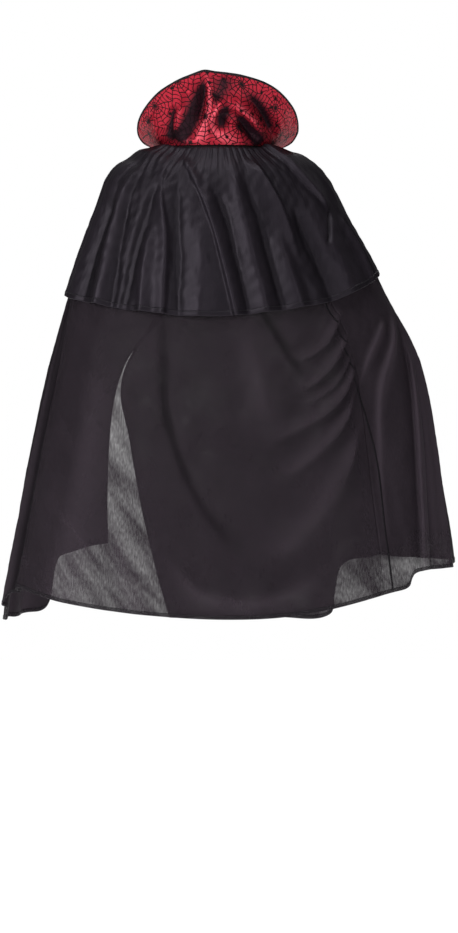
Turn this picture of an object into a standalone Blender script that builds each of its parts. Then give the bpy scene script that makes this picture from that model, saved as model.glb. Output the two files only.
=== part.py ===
"""A child's vampire cape, in the shape that it hangs in when it is worn.

A long cape of three panels hangs from a neck band. A shorter capelet lies over it, and a crescent collar
stands on the neck seam. The wearer faces -Y, so the back of the cape is at +Y and the wearer's left at +X.
The origin is the middle of the neckline. An angle runs round the neck from 0 at the centre back,
positive towards the wearer's left, so 180 and -180 degrees are both the centre front.
"""

import math

import bmesh
import bpy
from mathutils import Vector

# Driving dimensions, in metres.
NECK_WIDE = 0.076  # half of the neckline's width
NECK_BACK = 0.068  # from its middle to its back
NECK_FRONT = 0.066  # from its middle to its front
NECK_TILT = 0.015  # the front of the neckline is this much lower than the back
CLOTH = 0.0010  # thickness of a cape or capelet layer
GAP = 0.0008  # between pieces that are sewn to each other
SEAM_GAP = 0.0030  # between two panels along a seam, where a panel turns
BAND_HEIGHT = 0.024
BAND_THICK = 0.0014
COLLAR_SKIN = 0.0005  # thickness of the collar's outer cloth and of its lining
COLLAR_CORE = 0.0008  # thickness of its interlining

# Profiles of the cape from the neck seam to the hem: (distance from the middle, height).
LEFT_PROFILE = [(0.079, -0.0075), (0.125, -0.017), (0.160, -0.040), (0.183, -0.100), (0.228, -0.222),
                (0.272, -0.387), (0.315, -0.604), (0.329, -0.700)]
RIGHT_PROFILE = [(0.079, -0.0075), (0.128, -0.014), (0.165, -0.048), (0.198, -0.110), (0.247, -0.196),
                 (0.314, -0.357), (0.356, -0.557), (0.369, -0.640)]
BACK_PROFILE = [(0.071, -0.003), (0.092, -0.038), (0.110, -0.090), (0.130, -0.160), (0.150, -0.250),
                (0.176, -0.450), (0.205, -0.697)]
FRONT_PROFILE = [(0.069, -0.022), (0.088, -0.060), (0.110, -0.110), (0.124, -0.180), (0.136, -0.270),
                 (0.152, -0.480), (0.172, -0.730)]

# The hem of the cape: (angle in degrees, height). It is lifted at the wearer's right side and at the left
# front edge, and hangs lowest at the left side and at the centre front.
CAPE_HEM = [(-240, -0.690), (-206, -0.728), (-180, -0.738), (-165, -0.734), (-156, -0.722), (-149, -0.655),
            (-135, -0.645), (-110, -0.639), (-90, -0.636), (-70, -0.645), (-43, -0.663), (-20, -0.690),
            (0, -0.697), (30, -0.690), (69, -0.674), (80, -0.705), (90, -0.722), (104, -0.725), (115, -0.722),
            (124, -0.710), (131, -0.650), (148, -0.625), (170, -0.640)]
CAPELET_HEM = [(-190, -0.250), (-150, -0.240), (-120, -0.205), (-90, -0.195), (-62, -0.214), (-40, -0.236),
               (0, -0.254), (30, -0.247), (60, -0.234), (90, -0.226), (120, -0.232), (150, -0.246), (190, -0.255)]

# Where the side seams and the front edges run: (share of the way from neck to hem, angle in degrees).
LEFT_SEAM = [(0.0, 82), (0.2, 79), (0.35, 76), (1.0, 69)]
RIGHT_SEAM = [(0.0, -68), (0.2, -59), (0.35, -53.5), (1.0, -43)]
LEFT_FRONT_EDGE = [(0.0, 176), (0.2, 166), (0.36, 154), (0.5, 146), (0.66, 143.5), (1.0, 148)]
RIGHT_FRONT_EDGE = [(0.0, -180), (0.2, -192.5), (0.36, -206.0), (0.49, -213.8), (0.66, -208.5), (1.0, -193.5)]
SEAM_PULL = 16  # degrees on each side of a seam over which the cloth is drawn to the seam's straight line

# The capelet lies on the cape. Its own hem is further out, because its gathers stand away from the cape.
CAPELET_SHARE = 0.355  # of the cape's profile that the capelet covers
CAPELET_CLEAR = [(0.0, 0.0024), (0.25, 0.0060), (1.0, 0.0110)]
CAPELET_EDGE = [(0.0, 174), (0.5, 158), (1.0, 140)]  # its front edges, at both sides
PANEL_TOP = 0.40  # the share at which the swinging front panels begin, below the capelet's hem
SHOULDER_END = 0.394  # the share at which the fixed shoulder part of a front panel ends

# The collar: (angle, length up from the seam) and (angle, lean outwards in degrees at seam and edge).
COLLAR_END = 150
COLLAR_HEIGHT = [(-150, 0.040), (-115, 0.050), (-90, 0.061), (-70, 0.076), (-45, 0.097), (-20, 0.108), (0, 0.1105),
                 (20, 0.109), (45, 0.092), (70, 0.069), (90, 0.056), (115, 0.047), (150, 0.038)]
COLLAR_LEAN_FOOT = [(0, 4), (45, 12), (70, 22), (90, 36), (115, 58), (150, 66)]
COLLAR_LEAN_EDGE = [(0, 22), (45, 34), (70, 46), (90, 62), (115, 88), (150, 98)]
BINDING_WIDE = 0.005  # how far the edge binding reaches down each face
BINDING_THICK = 0.0005

# The closing tab crosses the centre front from the left end of the neck band.
BAND_LEFT_END = 173
BAND_RIGHT_END = -178
TAB_HINGE = 171
TAB_END = 203  # past the centre front, on the wearer's right
TAB_HEIGHT = 0.014
PATCH_LENGTH = 18  # degrees of the neckline that each hook-and-loop strip covers
PATCH_HEIGHT = 0.010
PATCH_THICK = 0.0010
LABEL_SIZE = (0.026, 0.0006, 0.034)

SWING_TOP = 0.36  # shares between which a side seam is a straight line, the axis of its front panel


def smooth_line(points, steps=12):
    """Catmull-Rom points through the given ones."""
    points = [Vector(p) for p in points]
    ends = [2 * points[0] - points[1]] + points + [2 * points[-1] - points[-2]]
    line = []
    for i in range(len(points) - 1):
        a, b, c, d = ends[i : i + 4]
        for k in range(steps):
            t = k / steps
            line.append(0.5 * (2 * b + (c - a) * t + (2 * a - 5 * b + 4 * c - d) * t * t
                               + (3 * b - a - 3 * c + d) * t ** 3))
    return line + [points[-1]]


def curve_by_length(points):
    """A function from a share of the smooth line's length to the place on it."""
    line = smooth_line(points)
    lengths = [0.0]
    for a, b in zip(line, line[1:]):
        lengths.append(lengths[-1] + (b - a).length)

    def at(share):
        wanted = min(max(share, 0.0), 1.0) * lengths[-1]
        i = max(1, next(k for k, long in enumerate(lengths) if long >= wanted - 1e-12))
        part = (wanted - lengths[i - 1]) / (lengths[i] - lengths[i - 1])
        return line[i - 1].lerp(line[i], part)

    return at


def table(points):
    """A smooth function through (input, value) points, level outside them."""
    line = smooth_line([(x, y) for x, y in points])

    def at(x):
        if x <= line[0][0]:
            return line[0][1]
        for a, b in zip(line, line[1:]):
            if x <= b[0]:
                return a[1] + (b[1] - a[1]) * (x - a[0]) / max(b[0] - a[0], 1e-9)
        return line[-1][1]

    return at


profiles = {name: curve_by_length(points) for name, points in (
    ("left", LEFT_PROFILE), ("right", RIGHT_PROFILE), ("back", BACK_PROFILE), ("front", FRONT_PROFILE))}
cape_hem, capelet_hem = table(CAPE_HEM), table(CAPELET_HEM)
seams = {"left": table(LEFT_SEAM), "right": table(RIGHT_SEAM)}
capelet_clear, capelet_edge = table(CAPELET_CLEAR), table(CAPELET_EDGE)
left_edge, right_edge = table(LEFT_FRONT_EDGE), table(RIGHT_FRONT_EDGE)
collar_height, lean_foot, lean_edge = table(COLLAR_HEIGHT), table(COLLAR_LEAN_FOOT), table(COLLAR_LEAN_EDGE)


def draped_point(angle, share, hem, share_at_hem=1.0):
    """A place on the cape's shape, with its height drawn so that the hem lies where it should."""
    s, c = math.sin(math.radians(angle)), math.cos(math.radians(angle))
    side = profiles["left" if s > 0 else "right"]
    face = profiles["back" if c > 0 else "front"]

    def height(at):
        return side(at)[1] * s * s + face(at)[1] * c * c

    drawn = share / share_at_hem
    shift = (hem(angle) - height(share_at_hem)) * drawn * drawn
    return Vector((side(share)[0] * s, face(share)[0] * c, height(share) + shift))


def seam_line(side, share):
    """A place on a side seam's straight part."""
    top = draped_point(seams[side](SWING_TOP), SWING_TOP, cape_hem)
    foot = draped_point(seams[side](1.0), 1.0, cape_hem)
    return top.lerp(foot, (share - SWING_TOP) / (1.0 - SWING_TOP))


def cape_point(angle, share):
    """A place on the cape, with both seams drawn straight below the capelet."""
    place = draped_point(angle, share, cape_hem)
    for side in seams:
        near = 1.0 - abs(angle - seams[side](share)) / SEAM_PULL
        if near > 0.0 and share > SWING_TOP:
            seam = draped_point(seams[side](share), share, cape_hem)
            place += (seam_line(side, share) - seam) * near * near * (3 - 2 * near)
    return place


def outward(surface, angle, share, step=0.5):
    """The surface's outward normal at an angle and share."""
    up = 0.004
    along = surface(angle + step, share) - surface(angle - step, share)
    down = surface(angle, min(share + up, 1.0)) - surface(angle, max(share - up, 0.0))
    return along.cross(down).normalized()


def capelet_point(angle, share):
    under = draped_point(angle, share * CAPELET_SHARE, capelet_hem, CAPELET_SHARE)

    def base(a, v):
        return draped_point(a, v * CAPELET_SHARE, capelet_hem, CAPELET_SHARE)

    return under + outward(base, angle, share) * capelet_clear(share)


def neck_point(angle, out=0.0, up=0.0):
    """A place on the neckline, moved outwards and up."""
    s, c = math.sin(math.radians(angle)), math.cos(math.radians(angle))
    deep = NECK_BACK if c > 0 else NECK_FRONT
    height = -NECK_TILT * ((1 - c) / 2) ** 2 + up
    return Vector(((NECK_WIDE + out) * s, (deep + out) * c, height))


def collar_point(angle, length, out=0.0):
    """A place on the collar: a length up from the seam, moved outwards by its own normal."""
    size = abs(angle)
    foot, edge = math.radians(lean_foot(size)), math.radians(lean_edge(size))
    tall = collar_height(angle)
    bend = (edge - foot) / tall
    lean = foot + bend * length
    rise = (math.sin(lean) - math.sin(foot)) / bend
    reach = (math.cos(foot) - math.cos(lean)) / bend
    s, c = math.sin(math.radians(angle)), math.cos(math.radians(angle))
    deep = NECK_BACK if c > 0 else NECK_FRONT
    flat = Vector((s / NECK_WIDE, c / deep, 0)).normalized()
    place = neck_point(angle, 0.0035, 0.003) + flat * reach + Vector((0, 0, rise))
    return place + (flat * math.cos(lean) - Vector((0, 0, math.sin(lean)))) * out


def collar_top(angle):
    """The collar's length at an angle: its ends are rounded down to the seam."""
    end = min(1.0, (COLLAR_END - abs(angle)) / 22.0)
    return collar_height(angle) * (0.16 + 0.84 * math.sqrt(max(0.0, end * (2 - end))))


def new_object(name, mesh_faces, colour, roughness, metallic=0.0):
    """An object of one material from (points, faces)."""
    points, faces = mesh_faces
    mesh = bpy.data.meshes.new(name)
    mesh.from_pydata([tuple(p) for p in points], [], faces)
    shape = bmesh.new()
    shape.from_mesh(mesh)
    bmesh.ops.recalc_face_normals(shape, faces=shape.faces)
    if shape.calc_volume(signed=True) < 0:
        bmesh.ops.reverse_faces(shape, faces=shape.faces)
    shape.to_mesh(mesh)
    shape.free()
    mesh.shade_smooth()
    mesh.set_sharp_from_angle(angle=math.radians(50))
    material = bpy.data.materials.new(name)
    material.use_nodes = True
    shader = material.node_tree.nodes["Principled BSDF"]
    shader.inputs["Base Color"].default_value = (*colour, 1)
    shader.inputs["Roughness"].default_value = roughness
    shader.inputs["Metallic"].default_value = metallic
    mesh.materials.append(material)
    piece = bpy.data.objects.new(name, mesh)
    bpy.context.scene.collection.objects.link(piece)
    return piece


def put_origin(piece, place):
    """Moves a piece's origin to a place on its joint's axis, with the piece left where it is."""
    for vertex in piece.data.vertices:
        vertex.co -= place
    piece.location = place


def sheet(inner, outer, columns, rows):
    """The closed skin of a cloth between two surfaces, each a function of (column, row) shares."""
    points, faces = [], []
    for surface in (inner, outer):
        for i in range(columns + 1):
            for j in range(rows + 1):
                points.append(surface(i / columns, j / rows))
    tall = rows + 1
    count = (columns + 1) * tall
    for i in range(columns):
        for j in range(rows):
            a, b = i * tall + j, (i + 1) * tall + j
            faces.append((a, a + 1, b + 1, b))
            faces.append((count + a, count + b, count + b + 1, count + a + 1))
    rim = [i * tall for i in range(columns)]
    rim += [columns * tall + j for j in range(rows)]
    rim += [i * tall + rows for i in range(columns, 0, -1)]
    rim += [j for j in range(rows, 0, -1)]
    for a, b in zip(rim, rim[1:] + rim[:1]):
        faces.append((a, b, count + b, count + a))
    return points, faces


def cloth(surface, start, end, top, foot, columns, rows, thick):
    """A cloth that follows a surface from one edge angle to another and from one share to another."""

    def place(out):
        def at(i, j):
            share = top + (foot - top) * j
            angle = start(share) + (end(share) - start(share)) * i
            return surface(angle, share) + outward(surface, angle, share) * out
        return at

    return sheet(place(-thick / 2), place(thick / 2), columns, rows)


def swept(profile_at, stations):
    """A solid whose closed cross-section is given at each station, with flat ends."""
    rings = [profile_at(k) for k in stations]
    size = len(rings[0])
    points = [p for ring in rings for p in ring]
    faces = [tuple(range(size)), tuple(range(len(points) - size, len(points)))]
    for r in range(len(rings) - 1):
        for k in range(size):
            a, b = r * size + k, r * size + (k + 1) % size
            faces.append((a, b, b + size, a + size))
    return points, faces


def spread(start, end, count):
    return [start + (end - start) * k / count for k in range(count + 1)]


def offset_by(table_at, metres):
    """A seam or edge moved round the neck by a distance, as a function of the share."""

    def at(share):
        angle = table_at(share)
        step = (cape_point(angle + 1, share) - cape_point(angle - 1, share)).length / 2
        return angle + metres / max(step, 1e-4)

    return at


def make_panels():
    """The back panel, and each front panel in two parts: one fixed on the shoulder, one that swings."""
    charcoal, satin = (0.034, 0.029, 0.034), 0.55
    half = SEAM_GAP / 2
    right_seam_back, right_seam_front = offset_by(seams["right"], half), offset_by(seams["right"], -half)
    left_seam_back, left_seam_front = offset_by(seams["left"], -half), offset_by(seams["left"], half)
    new_object("back_panel", cloth(cape_point, right_seam_back, left_seam_back, 0.0, 1.0, 18, 18, CLOTH),
               charcoal, satin)
    for side, seam, edge, columns in (("left", left_seam_front, left_edge, 12),
                                      ("right", right_seam_front, right_edge, 24)):
        new_object(side + "_shoulder_panel",
                   cloth(cape_point, seam, edge, 0.0, SHOULDER_END, columns, 8, CLOTH), charcoal, satin)
        panel = new_object(side + "_front_panel",
                           cloth(cape_point, seam, edge, PANEL_TOP, 1.0, columns, 12, CLOTH), charcoal, satin)
        put_origin(panel, seam_line(side, 1.0))


def make_capelet():
    def left(share):
        return capelet_edge(share)

    def right(share):
        return -capelet_edge(share)

    new_object("capelet", cloth(capelet_point, right, left, 0.0, 1.0, 44, 9, CLOTH), (0.018, 0.017, 0.020), 0.42)


def make_collar():
    """The interlining between the outer cloth and the lining, with a binding folded over their edge."""
    red, pale, black = (0.30, 0.012, 0.022), (0.75, 0.74, 0.70), (0.010, 0.010, 0.011)
    below = BINDING_THICK + GAP / 2
    core = COLLAR_CORE / 2
    layers = (("collar_interlining", -core, core, pale, 0.9),
              ("collar_outer", core + GAP / 2, core + GAP / 2 + COLLAR_SKIN, red, 0.35),
              ("collar_lining", -core - GAP / 2 - COLLAR_SKIN, -core - GAP / 2, red, 0.35))
    stations = [COLLAR_END * math.sin(math.pi / 2 * k) for k in spread(-1, 1, 40)]

    def layer(out):
        def at(i, j):
            angle = stations[round(i * 40)]
            return collar_point(angle, (collar_top(angle) - below) * j, out)
        return at

    for name, low, high, colour, roughness in layers:
        new_object(name, sheet(layer(low), layer(high), 40, 6), colour, roughness)

    inner = core + GAP / 2 + COLLAR_SKIN + GAP / 2
    outer = inner + BINDING_THICK

    def profile(angle):
        top = collar_top(angle)
        hem = max(top - BINDING_WIDE, top * 0.35)
        lengths = ((hem, outer), (top, outer), (top, -outer), (hem, -outer),
                   (hem, -inner), (top - BINDING_THICK, -inner), (top - BINDING_THICK, inner), (hem, inner))
        return [collar_point(angle, length, out) for length, out in lengths]

    new_object("collar_binding", swept(profile, stations), black, 0.5)


def strip(start, end, low, high, inside, outside, count):
    """A strip along the neckline between two angles, two heights and two distances outwards."""

    def profile(angle):
        return [neck_point(angle, out, up) for out, up in
                ((inside, low), (outside, low), (outside, high), (inside, high))]

    return swept(profile, spread(start, end, count))


def make_neck():
    """The neck band, its hook-and-loop closing, and the care label that hangs from it."""
    black = (0.012, 0.012, 0.013)
    foot, top = -0.008, BAND_HEIGHT - 0.008
    new_object("neck_band", strip(BAND_RIGHT_END, BAND_LEFT_END, foot, top, 0.0, BAND_THICK, 40), black, 0.6)

    middle = (foot + top) / 2 + 0.003
    low, high = middle - PATCH_HEIGHT / 2, middle + PATCH_HEIGHT / 2
    loop_out = BAND_THICK + GAP / 2
    patch_end = TAB_END - 360 - 2
    patch_start = patch_end - PATCH_LENGTH
    new_object("loop_strip", strip(patch_start, patch_end, low, high, loop_out, loop_out + PATCH_THICK, 5),
               (0.02, 0.02, 0.021), 0.95)
    hook_out = loop_out + PATCH_THICK + GAP / 2
    hook = new_object("hook_strip", strip(patch_start, patch_end, low, high, hook_out, hook_out + PATCH_THICK, 5),
                      (0.015, 0.015, 0.016), 0.8)
    tab_out = hook_out + PATCH_THICK + GAP / 2
    tab = new_object("closing_tab", strip(TAB_HINGE - 360, TAB_END - 360, middle - TAB_HEIGHT / 2,
                                          middle + TAB_HEIGHT / 2, tab_out, tab_out + BAND_THICK, 9), black, 0.6)
    hinge = neck_point(TAB_HINGE, tab_out, middle)
    put_origin(hook, hinge)
    put_origin(tab, hinge)

    wide, thick, tall = LABEL_SIZE
    sag = (wide / 2) ** 2 * NECK_BACK / NECK_WIDE ** 2 / 2  # how much the band bends away over half the label
    top_edge = neck_point(0, -GAP - sag - thick, 0.004)
    corners = [top_edge + Vector((x, y, z)) for z in (0, -tall) for x, y in
               ((-wide / 2, 0), (wide / 2, 0), (wide / 2, thick), (-wide / 2, thick))]
    sides = [(0, 1, 2, 3), (7, 6, 5, 4), (0, 4, 5, 1), (1, 5, 6, 2), (2, 6, 7, 3), (3, 7, 4, 0)]
    label = new_object("care_label", (corners, sides), (0.80, 0.80, 0.78), 0.6)
    put_origin(label, top_edge)


for old in list(bpy.data.objects):
    bpy.data.objects.remove(old)
make_panels()
make_capelet()
make_collar()
make_neck()
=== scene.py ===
"""A child's vampire cape as it hangs when it is worn: its cloth and folds, print, hems, stitches and closing.

The wearer faces -Y. An angle runs round the neck from 0 at the centre back, positive towards the wearer's
left, and a share runs down the cloth from 0 at the neck seam to 1 at the hem. Sizes are in metres.
"""

import math

import bpy
import numpy as np
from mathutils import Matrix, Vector


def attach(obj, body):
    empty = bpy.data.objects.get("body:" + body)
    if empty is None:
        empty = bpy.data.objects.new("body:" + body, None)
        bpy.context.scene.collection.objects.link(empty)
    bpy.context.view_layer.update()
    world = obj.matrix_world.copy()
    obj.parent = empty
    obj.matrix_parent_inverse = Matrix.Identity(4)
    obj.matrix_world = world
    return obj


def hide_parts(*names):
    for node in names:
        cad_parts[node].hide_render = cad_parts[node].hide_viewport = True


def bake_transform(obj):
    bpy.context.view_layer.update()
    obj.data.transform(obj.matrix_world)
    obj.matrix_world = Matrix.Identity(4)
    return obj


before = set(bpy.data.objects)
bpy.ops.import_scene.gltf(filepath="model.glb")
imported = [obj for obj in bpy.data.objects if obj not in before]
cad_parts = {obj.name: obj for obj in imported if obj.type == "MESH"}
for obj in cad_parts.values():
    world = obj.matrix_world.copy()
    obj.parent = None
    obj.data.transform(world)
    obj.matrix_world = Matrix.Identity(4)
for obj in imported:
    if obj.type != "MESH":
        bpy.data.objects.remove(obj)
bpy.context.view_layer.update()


# ---- The studio ----------------------------------------------------------------------------------
# The camera stands four metres behind the wearer, a metre above a white floor. Four large soft lamps light
# the cape: the strongest from the wearer's left, one from the right, one from above, and one that stands
# high in front and shines through the thin cloth. The floor fades to white away from the cape.

FLOOR = -1.16
FLOOR_SIDE, FLOOR_FRONT, FLOOR_BACK = 2.5, -2.3, 3
FADE_FROM, FADE_OVER = 0.9, 1.2
AIM = Vector((-0.019, 0.0, -0.489))

lens = bpy.data.cameras.new("camera")
lens.lens, lens.sensor_width = 100, 36
camera = bpy.data.objects.new("camera", lens)
camera.location = (0.0, 4.0, -0.156)
camera.rotation_euler = (AIM - camera.location).to_track_quat("-Z", "Y").to_euler()
bpy.context.scene.collection.objects.link(camera)
bpy.context.scene.camera = camera
bpy.context.scene.view_settings.view_transform = "Standard"


def softbox(name, place, aim, size, watts):
    lamp = bpy.data.lights.new(name, "AREA")
    lamp.shape, lamp.size, lamp.size_y, lamp.energy = "RECTANGLE", size[0], size[1], watts
    piece = bpy.data.objects.new(name, lamp)
    piece.location = place
    piece.rotation_euler = (Vector(aim) - Vector(place)).to_track_quat("-Z", "Y").to_euler()
    bpy.context.scene.collection.objects.link(piece)


softbox("key", (2.5, 2.3, 1.0), (0.0, 0.0, -0.35), (0.9, 1.6), 56)
softbox("fill", (-1.9, 3.2, 0.9), (0.0, 0.0, -0.4), (0.7, 1.4), 17)
softbox("top", (0.2, 1.0, 2.2), (0.0, 0.0, -0.2), (1.6, 0.6), 24)
softbox("front", (-0.1, -1.7, 2.8), (0.0, 0.0, -0.4), (1.6, 1.2), 44)

world = bpy.data.worlds.new("studio")
world.use_nodes = True
sky = world.node_tree
seen, felt = sky.nodes["Background"], sky.nodes.new("ShaderNodeBackground")
seen.inputs["Color"].default_value, seen.inputs["Strength"].default_value = (1, 1, 1, 1), 1.0
felt.inputs["Color"].default_value, felt.inputs["Strength"].default_value = (1, 1, 1, 1), 0.07
choose = sky.nodes.new("ShaderNodeMixShader")
sky.links.new(sky.nodes.new("ShaderNodeLightPath").outputs["Is Camera Ray"], choose.inputs[0])
sky.links.new(felt.outputs[0], choose.inputs[1])
sky.links.new(seen.outputs[0], choose.inputs[2])
sky.links.new(choose.outputs[0], sky.nodes["World Output"].inputs[0])
bpy.context.scene.world = world


class Value:
    """A shader socket that can be used in sums: each operator adds a Math node."""

    def __init__(self, finish, socket):
        self.finish, self.socket = finish, socket

    def maths(self, operation, *others):
        node = self.finish.node("Math", {"operation": operation}, *((self,) + others))
        return Value(self.finish, node.outputs[0])

    def __add__(self, other):
        return self.maths("ADD", other)

    def __mul__(self, other):
        return self.maths("MULTIPLY", other)

    def __sub__(self, other):
        return self.maths("SUBTRACT", other)

    def __rsub__(self, other):
        node = self.finish.node("Math", {"operation": "SUBTRACT"}, other, self)
        return Value(self.finish, node.outputs[0])

    def __truediv__(self, other):
        return self.maths("DIVIDE", other)

    def __pow__(self, other):
        return self.maths("POWER", other)

    def __abs__(self):
        return self.maths("ABSOLUTE")

    __radd__, __rmul__ = __add__, __mul__

    def sine(self):
        return self.maths("SINE")

    def part(self):
        """What is left after the whole number."""
        return self.maths("FRACT")

    def below(self, limit, soft):
        """1 where this is under a limit, 0 where it is over it by more than soft."""
        return ((limit + soft - self) / soft).clamped()

    def clamped(self):
        node = self.finish.node("Clamp", {}, self)
        return Value(self.finish, node.outputs[0])


class Finish:
    """A material that is built from nodes round one Principled shader."""

    def __init__(self, name, **sockets):
        self.material = bpy.data.materials.new(name)
        self.material.use_nodes = True
        self.tree = self.material.node_tree
        self.shader = self.tree.nodes["Principled BSDF"]
        for key, value in sockets.items():
            self.give(self.shader.inputs[key.replace("_", " ")], value)

    def give(self, socket, value):
        if isinstance(value, Value):
            self.tree.links.new(value.socket, socket)
        elif isinstance(value, tuple) and len(value) == 3 and socket.type == "RGBA":
            socket.default_value = (*value, 1)
        else:
            socket.default_value = value

    def node(self, kind, settings, *inputs, **named):
        """A node of a kind, with its settings made before its sockets are fed."""
        made = self.tree.nodes.new("ShaderNode" + kind)
        for key, value in settings.items():
            setattr(made, key, value)
        for socket, value in zip(made.inputs, inputs):
            self.give(socket, value)
        for key, value in named.items():
            self.give(made.inputs[key.replace("_", " ")], value)
        return made

    def out(self, made, name=0):
        return Value(self, made.outputs[name])

    def mix(self, amount, first, second):
        """A colour between two."""
        made = self.node("Mix", {"data_type": "RGBA"})
        self.give(made.inputs[0], amount)
        self.give(made.inputs[6], first)
        self.give(made.inputs[7], second)
        return Value(self, made.outputs[2])

    def painted(self, name):
        """A number that a piece's mesh carries at each of its points."""
        return self.out(self.node("Attribute", {"attribute_name": name}), "Fac")

    def on_cloth(self, across=1.0, down=1.0):
        """The cloth's own map, in metres, stretched."""
        flat = self.out(self.node("UVMap", {"uv_map": "cloth"}))
        made = self.node("Mapping", {}, Vector=flat, Scale=(across, down, 1.0))
        return self.out(made)

    def noise(self, where, scale, detail=2.0, roughness=0.5):
        made = self.node("TexNoise", {"noise_dimensions": "2D"}, Vector=where, Scale=scale, Detail=detail,
                         Roughness=roughness)
        return self.out(made, 0)

    def bump(self, height, depth, strength=1.0):
        made = self.node("Bump", {}, Strength=strength, Distance=depth, Height=height)
        self.give(self.shader.inputs["Normal"], self.out(made))


paper = Finish("studio floor", Base_Color=(0.85, 0.85, 0.85), Roughness=1.0, Specular_IOR_Level=0.0,
               Emission_Strength=1.0)
spot = paper.out(paper.node("TexCoord", {}), "Object")
off = paper.out(paper.node("VectorMath", {"operation": "LENGTH"}, spot), "Value")
paper.give(paper.shader.inputs["Emission Color"],
           paper.mix(((off - FADE_FROM) / FADE_OVER).clamped(), (0.72, 0.72, 0.72), (1.0, 1.0, 1.0)))
mesh = bpy.data.meshes.new("studio_floor")
corners = [(-FLOOR_SIDE, FLOOR_FRONT), (FLOOR_SIDE, FLOOR_FRONT), (FLOOR_SIDE, FLOOR_BACK),
           (-FLOOR_SIDE, FLOOR_BACK)]
mesh.from_pydata([(x, y, FLOOR) for x, y in corners], [], [(0, 1, 2, 3)])
mesh.materials.append(paper.material)
floor = bpy.data.objects.new("studio_floor", mesh)
bpy.context.scene.collection.objects.link(floor)


# ---- The shape that the cape hangs in ------------------------------------------------------------
# Four profiles from the neck seam to the hem, at the wearer's two sides, back and front, carry one
# smooth shell. The three panels follow it, and the capelet lies just outside it.

LEFT = [(0.079, -0.0075), (0.125, -0.017), (0.160, -0.040), (0.183, -0.100), (0.228, -0.222), (0.272, -0.387),
        (0.315, -0.604), (0.329, -0.700)]
RIGHT = [(0.079, -0.0075), (0.128, -0.014), (0.165, -0.048), (0.198, -0.110), (0.247, -0.196),
         (0.314, -0.357), (0.356, -0.557), (0.369, -0.640)]
BACK = [(0.071, -0.003), (0.092, -0.038), (0.110, -0.090), (0.130, -0.160), (0.150, -0.250), (0.176, -0.450),
        (0.205, -0.697)]
FRONT = [(0.069, -0.022), (0.088, -0.060), (0.110, -0.110), (0.124, -0.180), (0.136, -0.270), (0.152, -0.480),
         (0.172, -0.730)]
CAPE_HEM = [(-240, -0.704), (-206, -0.742), (-180, -0.751), (-165, -0.748), (-150.6, -0.741), (-147, -0.661),
            (-135, -0.645), (-110, -0.640), (-90, -0.636), (-70, -0.639), (-55, -0.640), (-51.5, -0.661),
            (-43, -0.669), (-20, -0.694), (0, -0.699), (30, -0.689), (55, -0.674), (69, -0.670), (80, -0.711),
            (90, -0.728), (104, -0.730), (115, -0.728), (125, -0.718), (131, -0.650), (148, -0.625),
            (170, -0.640)]
CAPELET_HEM = [(-190, -0.250), (-150, -0.240), (-120, -0.205), (-90, -0.195), (-62, -0.214), (-40, -0.236),
               (0, -0.254), (30, -0.247), (60, -0.234), (90, -0.226), (120, -0.232), (150, -0.246),
               (190, -0.255)]
SEAMS = {"left": [(0.0, 82), (0.2, 79), (0.35, 76), (1.0, 69)],
         "right": [(0.0, -68), (0.2, -59), (0.35, -53.5), (1.0, -43)]}
SEAM_PULL, STRAIGHT_FROM = 16, 0.36  # the seams are straight below this share


def smooth(rows, steps=12):
    """Catmull-Rom rows through the given ones."""
    rows = np.array(rows, float)
    rows = np.vstack([2 * rows[0] - rows[1], rows, 2 * rows[-1] - rows[-2]])
    t = np.arange(steps)[:, None] / steps
    spans = [0.5 * (2 * b + (c - a) * t + (2 * a - 5 * b + 4 * c - d) * t**2 + (3 * b - a - 3 * c + d) * t**3)
             for a, b, c, d in zip(rows, rows[1:], rows[2:], rows[3:])]
    return np.vstack(spans + [rows[-2:-1]])


def table(rows):
    """A smooth function through (input, value) rows."""
    line = smooth(rows)
    return lambda x: np.interp(x, line[:, 0], line[:, 1])


def profile(rows):
    """A function from a share of the line's length to (distance out, height)."""
    line = smooth(rows)
    long = np.concatenate([[0.0], np.cumsum(np.linalg.norm(np.diff(line, axis=0), axis=1))])
    return lambda share: [np.interp(share * long[-1], long, line[:, k]) for k in (0, 1)]


left, right, back, front = profile(LEFT), profile(RIGHT), profile(BACK), profile(FRONT)
cape_hem, capelet_hem = table(CAPE_HEM), table(CAPELET_HEM)
seams = {side: table(rows) for side, rows in SEAMS.items()}


def rising(value, start, over):
    """0 up to a start, and 1 from as much over it."""
    return np.clip((value - start) / over, 0, 1)


def falling(value, stop, over):
    """1 until as much short of a stop, and 0 past it."""
    return np.clip((stop - value) / over, 0, 1)


def eased(amount):
    """An amount from 0 to 1, made level at both ends."""
    return amount**2 * (3 - 2 * amount)


def draped(angle, share, hem, full=1.0):
    """Places on the shell, drawn down so that the cloth that ends at a full share has its hem in place."""
    s, c = np.sin(np.radians(angle)), np.cos(np.radians(angle))

    def out_and_height(at):
        side = [np.where(s > 0, a, b) for a, b in zip(left(at), right(at))]
        face = [np.where(c > 0, a, b) for a, b in zip(back(at), front(at))]
        return side[0], face[0], side[1] * s * s + face[1] * c * c

    wide, deep, height = out_and_height(share)
    height = height + (hem(angle) - out_and_height(full + 0 * share)[2]) * (share / full) ** 2
    return np.stack([wide * s, deep * c, height], -1)


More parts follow.
